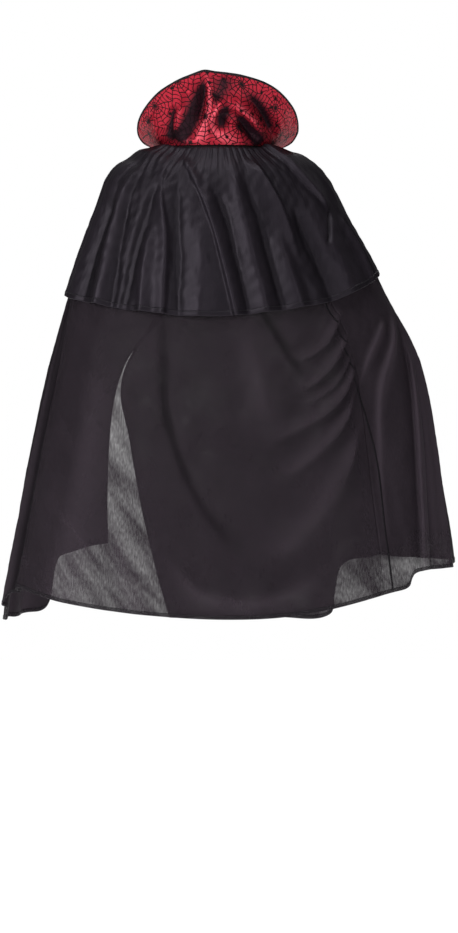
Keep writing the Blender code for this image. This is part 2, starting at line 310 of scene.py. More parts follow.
def shell(angle, share):
    """The cape's shape, with both side seams straight below the capelet."""
    angle, share = np.broadcast_arrays(np.asarray(angle, float), np.asarray(share, float))
    place = draped(angle, share, cape_hem)
    for seam in seams.values():
        ends = draped(seam(np.array([STRAIGHT_FROM, 1.0])), np.array([STRAIGHT_FROM, 1.0]), cape_hem)
        down = np.maximum(share - STRAIGHT_FROM, 0)[..., None] / (1 - STRAIGHT_FROM)
        near = np.clip(1 - np.abs(angle - seam(share)) / SEAM_PULL, 0, 1) * (share > STRAIGHT_FROM)
        straight = ends[0] + (ends[1] - ends[0]) * down
        place = place + (straight - draped(seam(share), share, cape_hem)) * eased(near)[..., None]
    return place


def lie_of(surface, angle, share, turn=0.4, drop=0.004):
    """A surface's directions: round the wearer, down the cloth and away from the wearer."""
    along = surface(angle + turn, share) - surface(angle - turn, share)
    down = surface(angle, np.minimum(share + drop, 1)) - surface(angle, np.maximum(share - drop, 0))
    along, down = [way / np.linalg.norm(way, axis=-1, keepdims=True) for way in (along, down)]
    away = np.cross(along, down)
    return along, down, away / np.linalg.norm(away, axis=-1, keepdims=True)


def outward(surface, angle, share):
    return lie_of(surface, angle, share)[2]


def lifted(surface, angle, share, height):
    """Places that stand off a surface."""
    return surface(angle, share) + outward(surface, angle, share) * height


AT_TOP, AT_FOOT, FADES_OVER = 0.02, 0.98, 0.22


def creases(lines, angle, share, step, length):
    """How far folds stand out, and how far their crests lie over round and down the cloth.

    A line is (lean, rows down the fold of (share, angle, width, height)). A lean makes the side of the
    greater angles steeper. step gives the metres in a degree at a share, and length those in a whole
    share. A fold that ends on the cloth fades out over a part of its line."""
    across, down = angle * step(share), share * length
    out, over, under = np.zeros(across.shape), np.zeros(across.shape), np.zeros(across.shape)
    for lean, rows in lines:
        rows = np.array(rows, float)
        line = smooth(np.column_stack([rows[:, 1] * step(rows[:, 0]), rows[:, 0] * length, rows[:, 2:]]), 5)
        best, offset, wide, high, along = np.full(across.shape, 9.0), 0 * out, 0 * out + 1, 0 * out, 0 * out
        for k, (a, b) in enumerate(zip(line, line[1:])):
            run = b[:2] - a[:2]
            t = np.clip(((across - a[0]) * run[0] + (down - a[1]) * run[1]) / (run @ run), 0, 1)
            dx, dy = across - a[0] - run[0] * t, down - a[1] - run[1] * t
            far = np.hypot(dx, dy)
            near = far < best
            best = np.where(near, far, best)
            offset = np.where(near, np.sign(dx * run[1] - dy * run[0]) * far, offset)
            wide = np.where(near, a[2] + (b[2] - a[2]) * t, wide)
            high = np.where(near, a[3] + (b[3] - a[3]) * t, high)
            along = np.where(near, (k + t) / (len(line) - 1), along)
        ends = 1.0
        if rows[0, 0] > AT_TOP:
            ends = ends * np.clip(along / FADES_OVER, 0, 1)
        if rows[-1, 0] < AT_FOOT:
            ends = ends * falling(along, 1, FADES_OVER)
        fold = high * np.exp(-np.abs(offset / wide * (1 + lean * np.sign(offset))) ** 1.7) * ends
        out += fold
        way = line[-1, :2] - line[0, :2]
        way = way / np.hypot(*way)
        over += fold * lean * way[1]
        under -= fold * lean * way[0]
    return out, over, under


def waves(across, down, size, seed, count=7):
    """Soft unevenness of about a size, from -1 to 1."""
    chance = np.random.default_rng(seed)
    total = np.zeros(np.broadcast(across, down).shape)
    for _ in range(count):
        turn, phase, stretch = chance.uniform(0, math.pi), chance.uniform(0, 7), chance.uniform(0.7, 1.6)
        along = across * math.cos(turn) + down * math.sin(turn)
        total += np.cos(along * 2 * math.pi / size / stretch + phase)
    return total / count


# ---- The long cape's cloth -----------------------------------------------------------------------
# The three panels are cut from one thin black knit, a little see-through where it lies single. The
# front panels are drawn round the side of the body, so swags run from the right side seam across the back.

CAPE_LENGTH = 0.73
CAPE_FOLDS = [
    (0.2, [(0.34, 19.5, 0.011, -0.005), (0.45, 18.6, 0.009, -0.006), (0.56, 17.0, 0.006, -0.006),
           (0.66, 12.0, 0.005, -0.006), (0.75, 5.4, 0.007, -0.005), (0.83, -3.0, 0.012, -0.003),
           (0.88, -9.0, 0.018, -0.001)]),
    (0.5, [(0.34, -14, 0.005, -0.005), (0.40, -18.6, 0.005, -0.006), (0.47, -23.1, 0.005, -0.006),
           (0.535, -28.8, 0.006, -0.002)]),
    (-0.4, [(0.400, -49, 0.004, 0.006), (0.430, -42, 0.005, 0.008), (0.463, -33.9, 0.006, 0.007),
            (0.472, -25.2, 0.006, 0.004), (0.455, -20, 0.006, 0.002)]),
    (-0.4, [(0.448, -50, 0.004, 0.007), (0.480, -42, 0.005, 0.009), (0.523, -30.6, 0.006, 0.008),
            (0.538, -21.6, 0.008, 0.003)]),
    (-0.3, [(0.490, -50, 0.003, 0.005), (0.515, -44, 0.004, 0.006), (0.553, -33, 0.005, 0.005),
            (0.575, -22, 0.006, 0.002)]),
    (-0.4, [(0.510, -50.5, 0.004, 0.009), (0.545, -44, 0.005, 0.010), (0.590, -32.4, 0.007, 0.009),
            (0.620, -19.2, 0.009, 0.006), (0.640, -13.2, 0.012, 0.002)]),
    (-0.3, [(0.560, -49.5, 0.005, 0.010), (0.640, -33.7, 0.008, 0.010), (0.691, -21.9, 0.011, 0.007),
            (0.709, -12.9, 0.014, 0.002)]),
    (-0.2, [(0.620, -50, 0.010, 0.009), (0.739, -33.3, 0.015, 0.010), (0.829, -20.7, 0.020, 0.007),
            (0.889, -8.7, 0.025, 0.003)]),
    (0.0, [(0.34, -9, 0.02, 0.003), (0.517, -12.6, 0.020, 0.006), (0.62, -15.3, 0.024, 0.003)]),
    (-0.2, [(0.86, 15, 0.010, 0.003), (0.945, 4.7, 0.011, 0.007), (0.965, -6.9, 0.011, 0.007),
            (0.945, -19.8, 0.011, 0.005), (0.88, -31, 0.014, 0.002)]),
    (0.0, [(0.80, 30, 0.02, 0.004), (0.93, 24, 0.022, 0.007), (1.0, 20, 0.024, 0.006)]),
    (0.0, [(0.45, 44, 0.03, 0.004), (0.75, 42, 0.035, 0.008), (1.0, 45, 0.04, 0.010)]),
    (0.4, [(0.450, -68, 0.006, 0.006), (0.50, -59, 0.006, 0.009), (0.565, -50, 0.006, 0.005)]),
    (0.4, [(0.42, -84, 0.010, 0.006), (0.50, -68, 0.009, 0.009), (0.60, -56, 0.007, 0.010),
           (0.74, -51, 0.006, 0.006), (0.90, -48, 0.006, 0.005)]),
    (0.9, [(0.45, -86, 0.012, 0.006), (0.61, -71, 0.010, 0.011), (0.787, -63.5, 0.008, 0.013),
           (1.0, -58, 0.008, 0.013)]),
    (0.0, [(0.55, -78, 0.008, -0.004), (0.787, -68.5, 0.008, -0.008), (1.0, -63, 0.009, -0.009)]),
    (0.3, [(0.40, -92, 0.010, 0.003), (0.65, -79, 0.011, 0.006), (1.0, -72, 0.012, 0.010)]),
    (0.0, [(0.45, -101, 0.010, -0.004), (0.70, -88, 0.010, -0.007), (1.0, -80, 0.012, -0.007)]),
    (0.7, [(0.36, 82, 0.006, 0.004), (0.70, 78.5, 0.007, 0.007), (1.0, 76.5, 0.008, 0.010)]),
    (0.0, [(0.36, 77.4, 0.0040, -0.009), (0.70, 73.6, 0.0055, -0.013), (1.0, 70.6, 0.006, -0.014)]),
]


def loose_folds(angles, top, foot, height, seed):
    """Folds that fan down from the shoulders, at about the given angles."""
    chance = np.random.default_rng(seed)
    made = []
    for angle in angles:
        start, drift = top + chance.uniform(0, 0.15), chance.uniform(-7, 7)
        wide, high = chance.uniform(0.010, 0.020), height * chance.uniform(0.6, 1.3)
        made.append((chance.uniform(-0.4, 0.4), [(start, angle, wide * 0.6, high * 0.3),
                                                 ((start + foot) / 2, angle + drift, wide, high * 0.8),
                                                 (foot, angle + drift * 1.4, wide * 1.2, high)]))
    return made


FRONT_FOLDS = (loose_folds([-104, 92, 107], 0.30, 1.0, 0.005, 5)
               + loose_folds([-121, -139, -157, -176, -196, 121, 136], 0.10, 1.0, 0.011, 6))


def metres_per_degree(surface, at):
    """How far a degree reaches at each share of a surface, beside an angle."""
    shares = np.linspace(0, 1, 21)
    reach = surface(at + 1.0, shares) - surface(at - 1.0, shares)
    return table(np.column_stack([shares, np.linalg.norm(reach, axis=-1) / 2]))


cape_step = metres_per_degree(shell, 0.0)


def uncovered(share):
    """0 where the capelet lies over the cape, and 1 below it."""
    return rising(share, 0.33, 0.08)


def cape_fold_shade(angle, share):
    """Painted shade in folds' hollows (-1), painted highlight on their crests (1), and painted shade past the
    left seam.
    """
    rise = creases(CAPE_FOLDS + FRONT_FOLDS, angle, share, cape_step, CAPE_LENGTH)[0]
    past = angle - seams["left"](share)
    # painted shade along the left seam, and lighter painted shade on the cloth turned away beyond it
    seam_shadow = np.exp(-((past - 1.5) / 1.3) ** 2) + 0.45 * rising(past, 1.5, 2) * falling(past, 30, 10)
    return np.clip(rise / 0.010 - 1.2 * seam_shadow, -1, 1) * uncovered(share)


def cape(angle, share, lap=0.0):
    """The cape's cloth, with its folds. They are kept low where the capelet lies over them."""
    angle, share = np.broadcast_arrays(np.asarray(angle, float), np.asarray(share, float))
    across, down = angle * cape_step(0.7), share * CAPE_LENGTH
    rise, over, under = creases(CAPE_FOLDS + FRONT_FOLDS, angle, share, cape_step, CAPE_LENGTH)
    free = uncovered(share)
    rise = rise + 0.0014 * waves(across, down * 0.35, 0.055, 3) * np.clip((share - 0.3) * 5, 0, 1)
    rise = rise + 0.0005 * waves(across * 1.4, down, 0.021, 9)
    rise = np.minimum(rise, 0.0008 + 0.009 * share + 0.03 * free) + lap
    along, downward, away = lie_of(shell, angle, share)
    return (shell(angle, share) + away * rise[..., None] + along * (over * free)[..., None]
            + downward * (under * free)[..., None])


left_edge = table([(0.0, 176), (0.2, 169), (0.36, 159.5), (0.45, 150.5), (0.52, 145.3), (0.66, 143.5),
                   (1.0, 148)])
right_edge = table([(0.0, -180), (0.2, -192.5), (0.36, -206.0), (0.45, -213.6), (0.50, -215.8),
                    (0.545, -215.2), (0.59, -212.4), (0.66, -208.5), (1.0, -193.5)])


def lapped_cape(angle, share):
    """The left front, which lies on the right front's edge above the place where the two part."""
    past = np.clip((angle - right_edge(share) - 360 + 7) / 7, 0, 1) * falling(share, 0.62, 0.08)
    return cape(angle, share, 0.0032 * past)


# The right panels are cut towards the back under the capelet, and their felled seam wanders on both
# sides of the cut.
cut_back = table([(0.0, 6.0), (0.2, 8.5), (0.36, 9.7), (0.42, 6.2), (0.48, 2.5), (0.54, 0.4), (0.6, 0.0),
                  (1.0, 0.0)])
seam_back = table([(0.0, 6.0), (0.2, 9.5), (0.36, 12.4), (0.42, 9.2), (0.48, 5.6), (0.54, 2.2), (0.58, 0.6),
                   (0.65, -1.6), (0.74, -3.2), (0.88, -2.8), (1.0, -3.0)])
sewn = {"left": seams["left"], "right": lambda share: seams["right"](share) + cut_back(share)}
felled_at = {"left": seams["left"], "right": lambda share: seams["right"](share) + seam_back(share)}


def cloth_mesh(name, places, flat_u, flat_v, finish, closed=False):
    """A piece whose faces join a grid of places, with the cloth's own map in metres."""
    columns, rows = places.shape[0] - 1, places.shape[1] - 1
    mesh = bpy.data.meshes.new(name)
    grid = np.arange((columns + 1) * (rows + 1)).reshape(columns + 1, rows + 1)
    loops = np.stack([grid[:-1, :-1], grid[1:, :-1], grid[1:, 1:], grid[:-1, 1:]], -1).reshape(-1, 4)
    points, corners = places.reshape(-1, 3), loops
    if closed:  # the last row lies on the first, and both ends are filled
        keep = np.where(np.arange(rows + 1) == rows, 0, np.arange(rows + 1))
        corners = grid[:, keep].reshape(-1)[loops]
    faces = corners.tolist()
    if closed:
        faces += [grid[0, :-1].tolist(), grid[-1, :-1][::-1].tolist()]
    mesh.from_pydata(points.tolist(), [], faces)
    flat = np.stack([flat_u, flat_v], -1).reshape(-1, 2)
    order = np.concatenate([loops.reshape(-1)] + ([grid[0, :-1], grid[-1, :-1][::-1]] if closed else []))
    layer = mesh.uv_layers.new(name="cloth")
    layer.data.foreach_set("uv", flat[order].astype(np.float32).ravel())
    mesh.shade_smooth()
    mesh.materials.append(finish.material)
    piece = bpy.data.objects.new(name, mesh)
    bpy.context.scene.collection.objects.link(piece)
    return piece


def made_plain(piece):
    """Turns what a piece's modifiers make into its own mesh."""
    graph = bpy.context.evaluated_depsgraph_get()
    made = bpy.data.meshes.new_from_object(piece.evaluated_get(graph), preserve_all_data_layers=True,
                                           depsgraph=graph)
    piece.modifiers.clear()
    piece.data = made


def lengths(places, axis):
    long = np.cumsum(np.linalg.norm(np.diff(places, axis=axis), axis=-1), axis=axis)
    return np.concatenate([0 * np.take(long, [0], axis), long], axis)


def sheet(name, surface, start, end, columns, rows, thick, finish, top=0.0, foot=1.0, **painted):
    """A cloth between two edge angles and two shares, painted with numbers that its finish reads.

    Returns it with the width, length and area of its cut."""
    share = np.linspace(top, foot, rows + 1)[None, :]
    first, last = start(share), end(share)
    angle = first + (last - first) * np.linspace(0, 1, columns + 1)[:, None]
    share = share + 0 * angle
    places = surface(angle, share)
    flat_u, flat_v = lengths(places, 0), -lengths(places, 1)
    wide, long = flat_u[-1].max(), -flat_v[:, -1].min()
    area = (np.diff(flat_u, axis=0)[:, :-1] * -np.diff(flat_v, axis=1)[:-1]).sum()
    piece = cloth_mesh(name, places, flat_u - flat_u[columns // 2], flat_v, finish)
    for key, value in painted.items():
        layer = piece.data.attributes.new(key, "FLOAT", "POINT")
        numbers = np.broadcast_to(value(angle, share), angle.shape)
        layer.data.foreach_set("value", numbers.astype(np.float32).ravel())
    wall = piece.modifiers.new("wall", "SOLIDIFY")
    wall.thickness, wall.offset = thick, 0.0
    made_plain(piece)
    return piece, (float(wide), float(long), float(area))


def closed_strip(name, places, finish, way=1):
    """A piece that rings of places close all round, with its faces outwards."""
    along = lengths(places, 0)[:, :1] + 0 * places[..., 0]
    piece = cloth_mesh(name, places, along, way * lengths(places, 1), finish, True)
    turned_out(piece)
    return piece


def fold_over(name, surface, outer, inner, thick, finish):
    """A narrow fold of cloth between two lines of (angles, shares) on a surface, rounded all round."""
    section = [(-0.06, 0.0), (0.0, 0.7), (0.15, 1.0), (0.85, 1.0), (1.0, 0.5), (1.0, -0.5), (0.85, -1.0),
               (0.15, -1.0), (0.0, -0.7), (-0.06, 0.0)]
    rings = []
    for part, out in section:
        angle, share = [a + (b - a) * part for a, b in zip(outer, inner)]
        rings.append(surface(angle, share) + outward(surface, angle, np.minimum(share, 1)) * out * thick)
    return closed_strip(name, np.stack(rings, 1), finish, -1)


def turned_out(piece):
    """Turns a closed mesh so that its faces point outwards."""
    places = np.zeros(len(piece.data.vertices) * 3)
    piece.data.vertices.foreach_get("co", places)
    places = places.reshape(-1, 3)
    piece.data.calc_loop_triangles()
    corners = np.zeros(len(piece.data.loop_triangles) * 3, int)
    piece.data.loop_triangles.foreach_get("vertices", corners)
    a, b, c = places[corners.reshape(-1, 3)].transpose(1, 0, 2)
    if (a * np.cross(b, c)).sum() < 0:
        piece.data.flip_normals()


knit = Finish("black knit", Roughness=0.60, Specular_IOR_Level=0.13, Specular_Tint=(1.0, 0.86, 1.0))
flat = knit.on_cloth()
streaks = knit.noise(knit.on_cloth(1.0, 0.22), 520.0, 3.0, 0.62)
clouds = knit.noise(flat, 16.0, 3.0, 0.55)
turned = knit.out(knit.node("Mapping", {"vector_type": "TEXTURE"}, Vector=flat, Rotation=(0, 0, -0.8),
                            Scale=(0.22, 1.0, 1.0)))
bands = knit.noise(turned, 9.0, 2.0, 0.5)
place = knit.node("SeparateXYZ", {}, flat)
WALE, COURSE = 0.0012, 0.0016
wales = (knit.out(place) * (2 * math.pi / WALE)).sine()
courses = (knit.out(place, "Y") * (2 * math.pi / COURSE)).sine()
# The knit's colour takes painted shade in the folds' hollows and painted highlight on their crests from the
# depth number, over its random streaks and clouds.
knit.give(knit.shader.inputs["Base Color"],
          knit.mix((streaks * 0.4 + clouds * 0.4 + 0.1 + 0.75 * knit.painted("depth")).clamped(),
                   (0.0085, 0.0065, 0.0085), (0.0425, 0.0328, 0.0415)))
cover = 0.43 + 0.50 * streaks + 0.50 * (bands - 0.5) - 0.44 * (knit.out(place, "Y") + 0.52)
knit.give(knit.shader.inputs["Alpha"], 1 - (1 - cover).clamped() * (1 - knit.painted("layers")))
knit.bump(streaks * 0.7 + wales * courses * 0.15, 0.0004, 0.6)

doubled = Finish("folded black knit", Roughness=0.60, Specular_IOR_Level=0.22)
grain = doubled.noise(doubled.on_cloth(1.0, 0.3), 520.0, 3.0, 0.62)
doubled.give(doubled.shader.inputs["Base Color"], doubled.mix(grain, (0.014, 0.012, 0.015),
                                                              (0.034, 0.028, 0.035)))
doubled.give(doubled.shader.inputs["Alpha"], (0.34 + 0.3 * grain).clamped())
doubled.bump(grain, 0.0004, 0.6)

thread = Finish("black thread", Base_Color=(0.016, 0.015, 0.018), Roughness=0.45)
spin = thread.out(thread.node("TexCoord", {}), "Object")
thread.bump(thread.out(thread.node("TexWave", {"bands_direction": "DIAGONAL"}, Vector=spin, Scale=900.0)),
            0.0001, 0.5)


def sewing_tree():
    """Geometry nodes that lay stitches along a line: short rounded lengths of thread, end to end."""
    tree = bpy.data.node_groups.new("stitches", "GeometryNodeTree")
    face = tree.interface
    face.new_socket("Line", in_out="INPUT", socket_type="NodeSocketGeometry")
    for name, kind in (("Pitch", "NodeSocketFloat"), ("Length", "NodeSocketFloat"),
                       ("Radius", "NodeSocketFloat"), ("Thread", "NodeSocketMaterial")):
        face.new_socket(name, in_out="INPUT", socket_type=kind)
    face.new_socket("Stitches", in_out="OUTPUT", socket_type="NodeSocketGeometry")

    def add(kind, settings=(), **feeds):
        node = tree.nodes.new(kind)
        for key, value in dict(settings).items():
            setattr(node, key, value)
        for key, value in feeds.items():
            socket = node.inputs[key.replace("_", " ")]
            if isinstance(value, bpy.types.NodeSocket):
                tree.links.new(value, socket)
            else:
                socket.default_value = value
        return node

    given = add("NodeGroupInput")
    curve = add("GeometryNodeMeshToCurve", Mesh=given.outputs["Line"])
    spaced = add("GeometryNodeResampleCurve", {"mode": "LENGTH"}, Curve=curve.outputs[0],
                 Length=given.outputs["Pitch"])
    bar = add("GeometryNodeMeshUVSphere", Segments=6, Rings=5, Radius=1.0)
    half = add("ShaderNodeMath", {"operation": "MULTIPLY"})
    tree.links.new(given.outputs["Length"], half.inputs[0])
    half.inputs[1].default_value = 0.5
    shape = add("ShaderNodeCombineXYZ", X=given.outputs["Radius"], Y=given.outputs["Radius"],
                Z=half.outputs[0])
    turn = add("FunctionNodeAlignRotationToVector", {"axis": "Z"},
               Vector=add("GeometryNodeInputTangent").outputs[0])
    laid = add("GeometryNodeInstanceOnPoints", Points=spaced.outputs[0], Instance=bar.outputs["Mesh"],
               Rotation=turn.outputs[0], Scale=shape.outputs[0])
    real = add("GeometryNodeRealizeInstances", Geometry=laid.outputs[0])
    dressed = add("GeometryNodeSetMaterial", Geometry=real.outputs[0], Material=given.outputs["Thread"])
    tree.links.new(dressed.outputs[0], add("NodeGroupOutput").inputs[0])
    return tree


sewing = sewing_tree()


def stitches(name, places, finish=thread, pitch=0.0030, length=0.0023, radius=0.00028):
    """A row of stitches along places, or along several lines of places."""
    lines = places if isinstance(places, list) else [places]
    points, edges = [], []
    for line in lines:
        edges += [(len(points) + k, len(points) + k + 1) for k in range(len(line) - 1)]
        points += [tuple(p) for p in line]
    mesh = bpy.data.meshes.new(name)
    mesh.from_pydata(points, edges, [])
    piece = bpy.data.objects.new(name, mesh)
    bpy.context.scene.collection.objects.link(piece)
    row = piece.modifiers.new("stitches", "NODES")
    row.node_group = sewing
    sockets = {s.name: s.identifier for s in sewing.interface.items_tree if s.in_out == "INPUT"}
    for key, value in (("Pitch", pitch), ("Length", length), ("Radius", radius), ("Thread", finish.material)):
        row[sockets[key]] = value
    made_plain(piece)
    piece.data.shade_smooth()
    return piece


def ride_front(piece):
    """A front panel's piece keeps its place in the world; it is not attached to a body."""
    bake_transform(piece)


def beside(seam, metres):
    """A seam or an edge moved round by a distance."""
    return lambda share: seam(share) + metres / cape_step(share)


HEM, HEM_ROW = 0.0060, 0.8  # the hem's depth, and how far up it is stitched
EDGE_FOLD, EDGE_ROW = 0.0045, 0.0034  # the same for a front edge, in metres
SEAM_HALF, CLOTH, HEM_THICK = 0.0001, 0.0005, 0.0009
foot_share = np.array(1.0)


def bottom_hem(name, surface, first, last, count):
    """The turned-up hem between two angles, and its row of stitches."""
    angle = np.linspace(first, last, count)
    lower, upper = (angle, 1.0 + 0 * angle), (angle, 1 - HEM / CAPE_LENGTH + 0 * angle)
    hem = fold_over(name + "_hem", surface, lower, upper, HEM_THICK, doubled)
    at = 1 - HEM_ROW * HEM / CAPE_LENGTH + 0 * angle
    row = stitches(name + "_hem_stitches", lifted(surface, angle, at, 0.0010))
    return hem, row


def edge_hem(name, surface, edge, side):
    """The turned-in hem of a front edge, with its row of stitches."""
    share = np.linspace(0.004, 0.997, 160)
    turn = -side / cape_step(share)
    hem = fold_over(name + "_hem", surface, (edge(share), share), (edge(share) + turn * EDGE_FOLD, share),
                    0.0007, doubled)
    angle = edge(share) + turn * EDGE_ROW
    row = stitches(name + "_hem_stitches", lifted(surface, angle, share, 0.0009))
    return hem, row


def back_layers(angle, share):
    """How far more than one cloth hides what is behind the back panel: the shoulders and the wrapped side."""
    return np.maximum(0.5 * falling(share, 0.55, 0.25),
                      0.95 * falling(angle, -34, 12) * falling(share, 0.95, 0.05))


def front_layers(angle, share):
    """The same for the fronts, which hang double at the sides."""
    return np.where(angle > 0, 0.5 + 0.45 * falling(angle, 150, 30),
                    (0.5 + 0.45 * rising(angle, -140, 40)) * falling(share, 0.95, 0.05))


# The panels carry their painted fold shade and highlight as the depth number.
panel, cut = sheet("back_panel_cloth", cape, beside(sewn["right"], SEAM_HALF),
                   beside(sewn["left"], -SEAM_HALF), 210, 190, CLOTH, knit, depth=cape_fold_shade,
                   layers=back_layers)
hem, row = bottom_hem("back_panel", cape, seams["right"](foot_share) + 0.1, seams["left"](foot_share) - 0.1,
                      240)
for piece in (panel, hem, row):
    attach(piece, "cape")
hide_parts("back_panel")
for side, surface, start, end, columns in (
        ("left", lapped_cape, beside(sewn["left"], SEAM_HALF), left_edge, 120),
        ("right", cape, right_edge, beside(sewn["right"], -SEAM_HALF), 210)):
    panel, cut = sheet(side + "_front_cloth", surface, start, end, columns, 170, CLOTH, knit,
                       depth=cape_fold_shade, layers=front_layers)
    made = [panel, *bottom_hem(side + "_front", surface, start(foot_share) + 0.1, end(foot_share) - 0.1, 200),
            *edge_hem(side + "_edge", surface, end if side == "left" else start, 1 if side == "left" else -1)]
    for piece in made:
        ride_front(piece)
    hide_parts(side + "_shoulder_panel", side + "_front_panel")

# The side seams are felled: their allowance is folded towards the back and stitched flat.
# The seam strip is coloured near black: painted shade for the shadow along the seam's fold.
seam_shade = Finish("seam in painted shade", Base_Color=(0.009, 0.007, 0.0095), Roughness=0.7, Specular_IOR_Level=0.08)
for side, way in (("left", -1), ("right", 1)):
    share = np.linspace(0.01, 0.996, 150)
    step = way / cape_step(share)
    line = felled_at[side](share)
    felled = fold_over(side + "_seam", cape, (line - step * 0.0006, share), (line + step * 0.0024, share),
                       0.0008, seam_shade)
    angle = line + step * 0.0017
    row = stitches(side + "_seam_stitches", lifted(cape, angle, share, 0.0009))
    for piece in (felled, row):
        if side == "left":
            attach(piece, "cape")
        else:
            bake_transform(piece)


# ---- The capelet ---------------------------------------------------------------------------------
# A half-length shoulder cape of black satin. Its top edge is gathered into the neck seam in fine pleats,
# which open into folds that fan out over the shoulders and back.

CAPELET_SHARE, CAPELET_LENGTH = 0.355, 0.262
CAPELET_FOLDS = [
    (0.0, [(0.00, 60, 0.004, 0.002), (0.15, 57, 0.005, 0.003), (0.28, 50, 0.006, 0.002)]),
    (0.0, [(0.00, 53, 0.003, 0.002), (0.14, 51, 0.004, 0.003), (0.27, 46, 0.005, 0.003)]),
    (0.0, [(0.00, 47, 0.003, 0.002), (0.12, 45, 0.004, 0.003), (0.25, 41, 0.005, 0.002)]),
    (0.0, [(0.00, 40, 0.003, 0.002), (0.10, 38, 0.004, 0.002), (0.20, 34, 0.005, 0.001)]),
    (0.2, [(0.20, 56, 0.008, 0.002), (0.43, 54, 0.010, 0.005), (0.70, 52.8, 0.013, 0.008),
           (1.0, 49.5, 0.014, 0.009)]),
    (0.0, [(0.20, 49.5, 0.007, -0.003), (0.38, 48.5, 0.008, -0.004), (0.62, 47, 0.010, -0.005),
           (1.0, 43, 0.010, -0.006)]),
    (0.0, [(0.40, 60, 0.010, -0.004), (0.65, 61, 0.012, -0.006), (1.0, 60, 0.014, -0.007)]),
    (0.3, [(0.50, 31.5, 0.007, 0.002), (0.65, 31, 0.010, 0.006), (0.80, 30, 0.011, 0.008),
           (1.0, 28.5, 0.010, 0.008)]),
    (0.0, [(0.20, 33, 0.006, -0.003), (0.40, 35, 0.007, -0.004), (0.65, 37, 0.009, -0.006),
           (1.0, 37, 0.010, -0.007)]),
    (-0.3, [(0.07, 42, 0.005, 0.002), (0.22, 35, 0.006, 0.004), (0.37, 29.5, 0.007, 0.006),
            (0.61, 23.5, 0.008, 0.008), (1.0, 20.5, 0.008, 0.008)]),
    (0.0, [(0.15, 27, 0.006, -0.003), (0.42, 20, 0.008, -0.005), (0.70, 16.5, 0.010, -0.006),
           (1.0, 14.5, 0.010, -0.006)]),
    (0.4, [(0.05, 29, 0.004, 0.002), (0.13, 22.5, 0.005, 0.004), (0.27, 9.3, 0.006, 0.007),
           (0.49, 0.9, 0.006, 0.008), (0.70, -3.3, 0.006, 0.009), (1.0, -7.3, 0.007, 0.009)]),
    (0.0, [(0.25, 15, 0.012, 0.003), (0.55, 8.0, 0.016, 0.006), (0.80, 6.0, 0.018, 0.007),
           (1.0, 6.3, 0.018, 0.007)]),
    (0.0, [(0.22, 4.0, 0.006, -0.004), (0.42, -4.5, 0.007, -0.006), (0.64, -8.0, 0.007, -0.006),
           (1.0, -11.5, 0.008, -0.006)]),
    (0.0, [(0.05, -11.4, 0.009, 0.003), (0.35, -12.1, 0.012, 0.006), (0.60, -14.5, 0.012, 0.008),
           (1.0, -17.2, 0.012, 0.008)]),
    (0.0, [(0.10, -18.6, 0.006, -0.003), (0.51, -21.2, 0.008, -0.006), (0.77, -22.5, 0.008, -0.007),
           (1.0, -24, 0.009, -0.006)]),
    (-0.4, [(0.08, -25, 0.005, 0.003), (0.20, -28.4, 0.006, 0.006), (0.39, -31.2, 0.007, 0.008),
            (0.58, -33.5, 0.009, 0.006), (0.80, -34.5, 0.010, 0.003)]),
    (0.0, [(0.50, -27, 0.008, 0.003), (0.80, -29, 0.010, 0.006), (1.0, -30.5, 0.011, 0.007)]),
    (0.0, [(0.44, -39.4, 0.008, -0.004), (0.59, -40.9, 0.009, -0.007), (0.78, -43, 0.011, -0.007),
           (1.0, -44, 0.014, -0.005)]),
    (0.0, [(0.35, -47, 0.022, 0.003), (0.70, -53, 0.030, 0.007), (1.0, -56, 0.032, 0.008)]),
    (0.5, [(0.02, -57, 0.005, 0.003), (0.16, -55.5, 0.006, 0.007), (0.385, -57.4, 0.006, 0.009),
           (0.53, -63.6, 0.007, 0.006)]),
    (0.4, [(0.50, -66, 0.005, -0.004), (0.60, -58, 0.004, -0.007), (0.67, -53.5, 0.004, -0.006),
           (0.72, -50, 0.005, -0.003)]),
    (-0.3, [(0.55, -68, 0.007, 0.003), (0.765, -70.5, 0.008, 0.008), (1.0, -69, 0.009, 0.009)]),
    (0.0, [(0.60, -75, 0.008, -0.004), (0.80, -76, 0.008, -0.007), (1.0, -75, 0.009, -0.007)]),
]
SIDE_FOLDS = loose_folds([-84, -96, 82, 95], 0.25, 1.0, 0.003,
                         11) + loose_folds([-109, -122, -134, 70, 108, 121, 134],
                                                                          0.05, 1.0, 0.006, 12)

clear = table([(0.0, 0.0024), (0.25, 0.0060), (1.0, 0.0110)])
capelet_edge = table([(0.0, 174), (0.5, 158), (1.0, 140)])


def under_capelet(angle, share):
    return draped(angle, share * CAPELET_SHARE, capelet_hem, CAPELET_SHARE)


def smooth_capelet(angle, share):
    """The capelet without its folds.

    Its gathers stand up at the neck seam and fill the slope of the shoulders."""
    from_middle = np.abs(angle)
    beside = 1 - 0.35 * rising(from_middle, 55, 30) * share
    away = outward(under_capelet, angle, share)
    place = under_capelet(angle, share) + away * (clear(share) * beside)[..., None]
    head = 0.0045 * np.exp(-((share - 0.03) / 0.035) ** 2)
    slope = eased(rising(from_middle, 28, 40) * falling(from_middle, 150, 30))
    full = np.clip(share / 0.06, 0, 1) * falling(share, np.where(angle > 0, 0.22, 0.15), 0.09)
    place[..., 2] += head + np.where(angle > 0, 0.0080, 0.0060) * slope * eased(full)
    return place


capelet_step = metres_per_degree(smooth_capelet, 0.0)


# Painted shade in the capelet's fold hollows, -1, and painted highlight on their crests, 1.
def capelet_fold_shade(angle, share):
    return np.clip(creases(CAPELET_FOLDS + SIDE_FOLDS, angle, share, capelet_step, CAPELET_LENGTH)[0] / 0.009,
                   -1, 1)


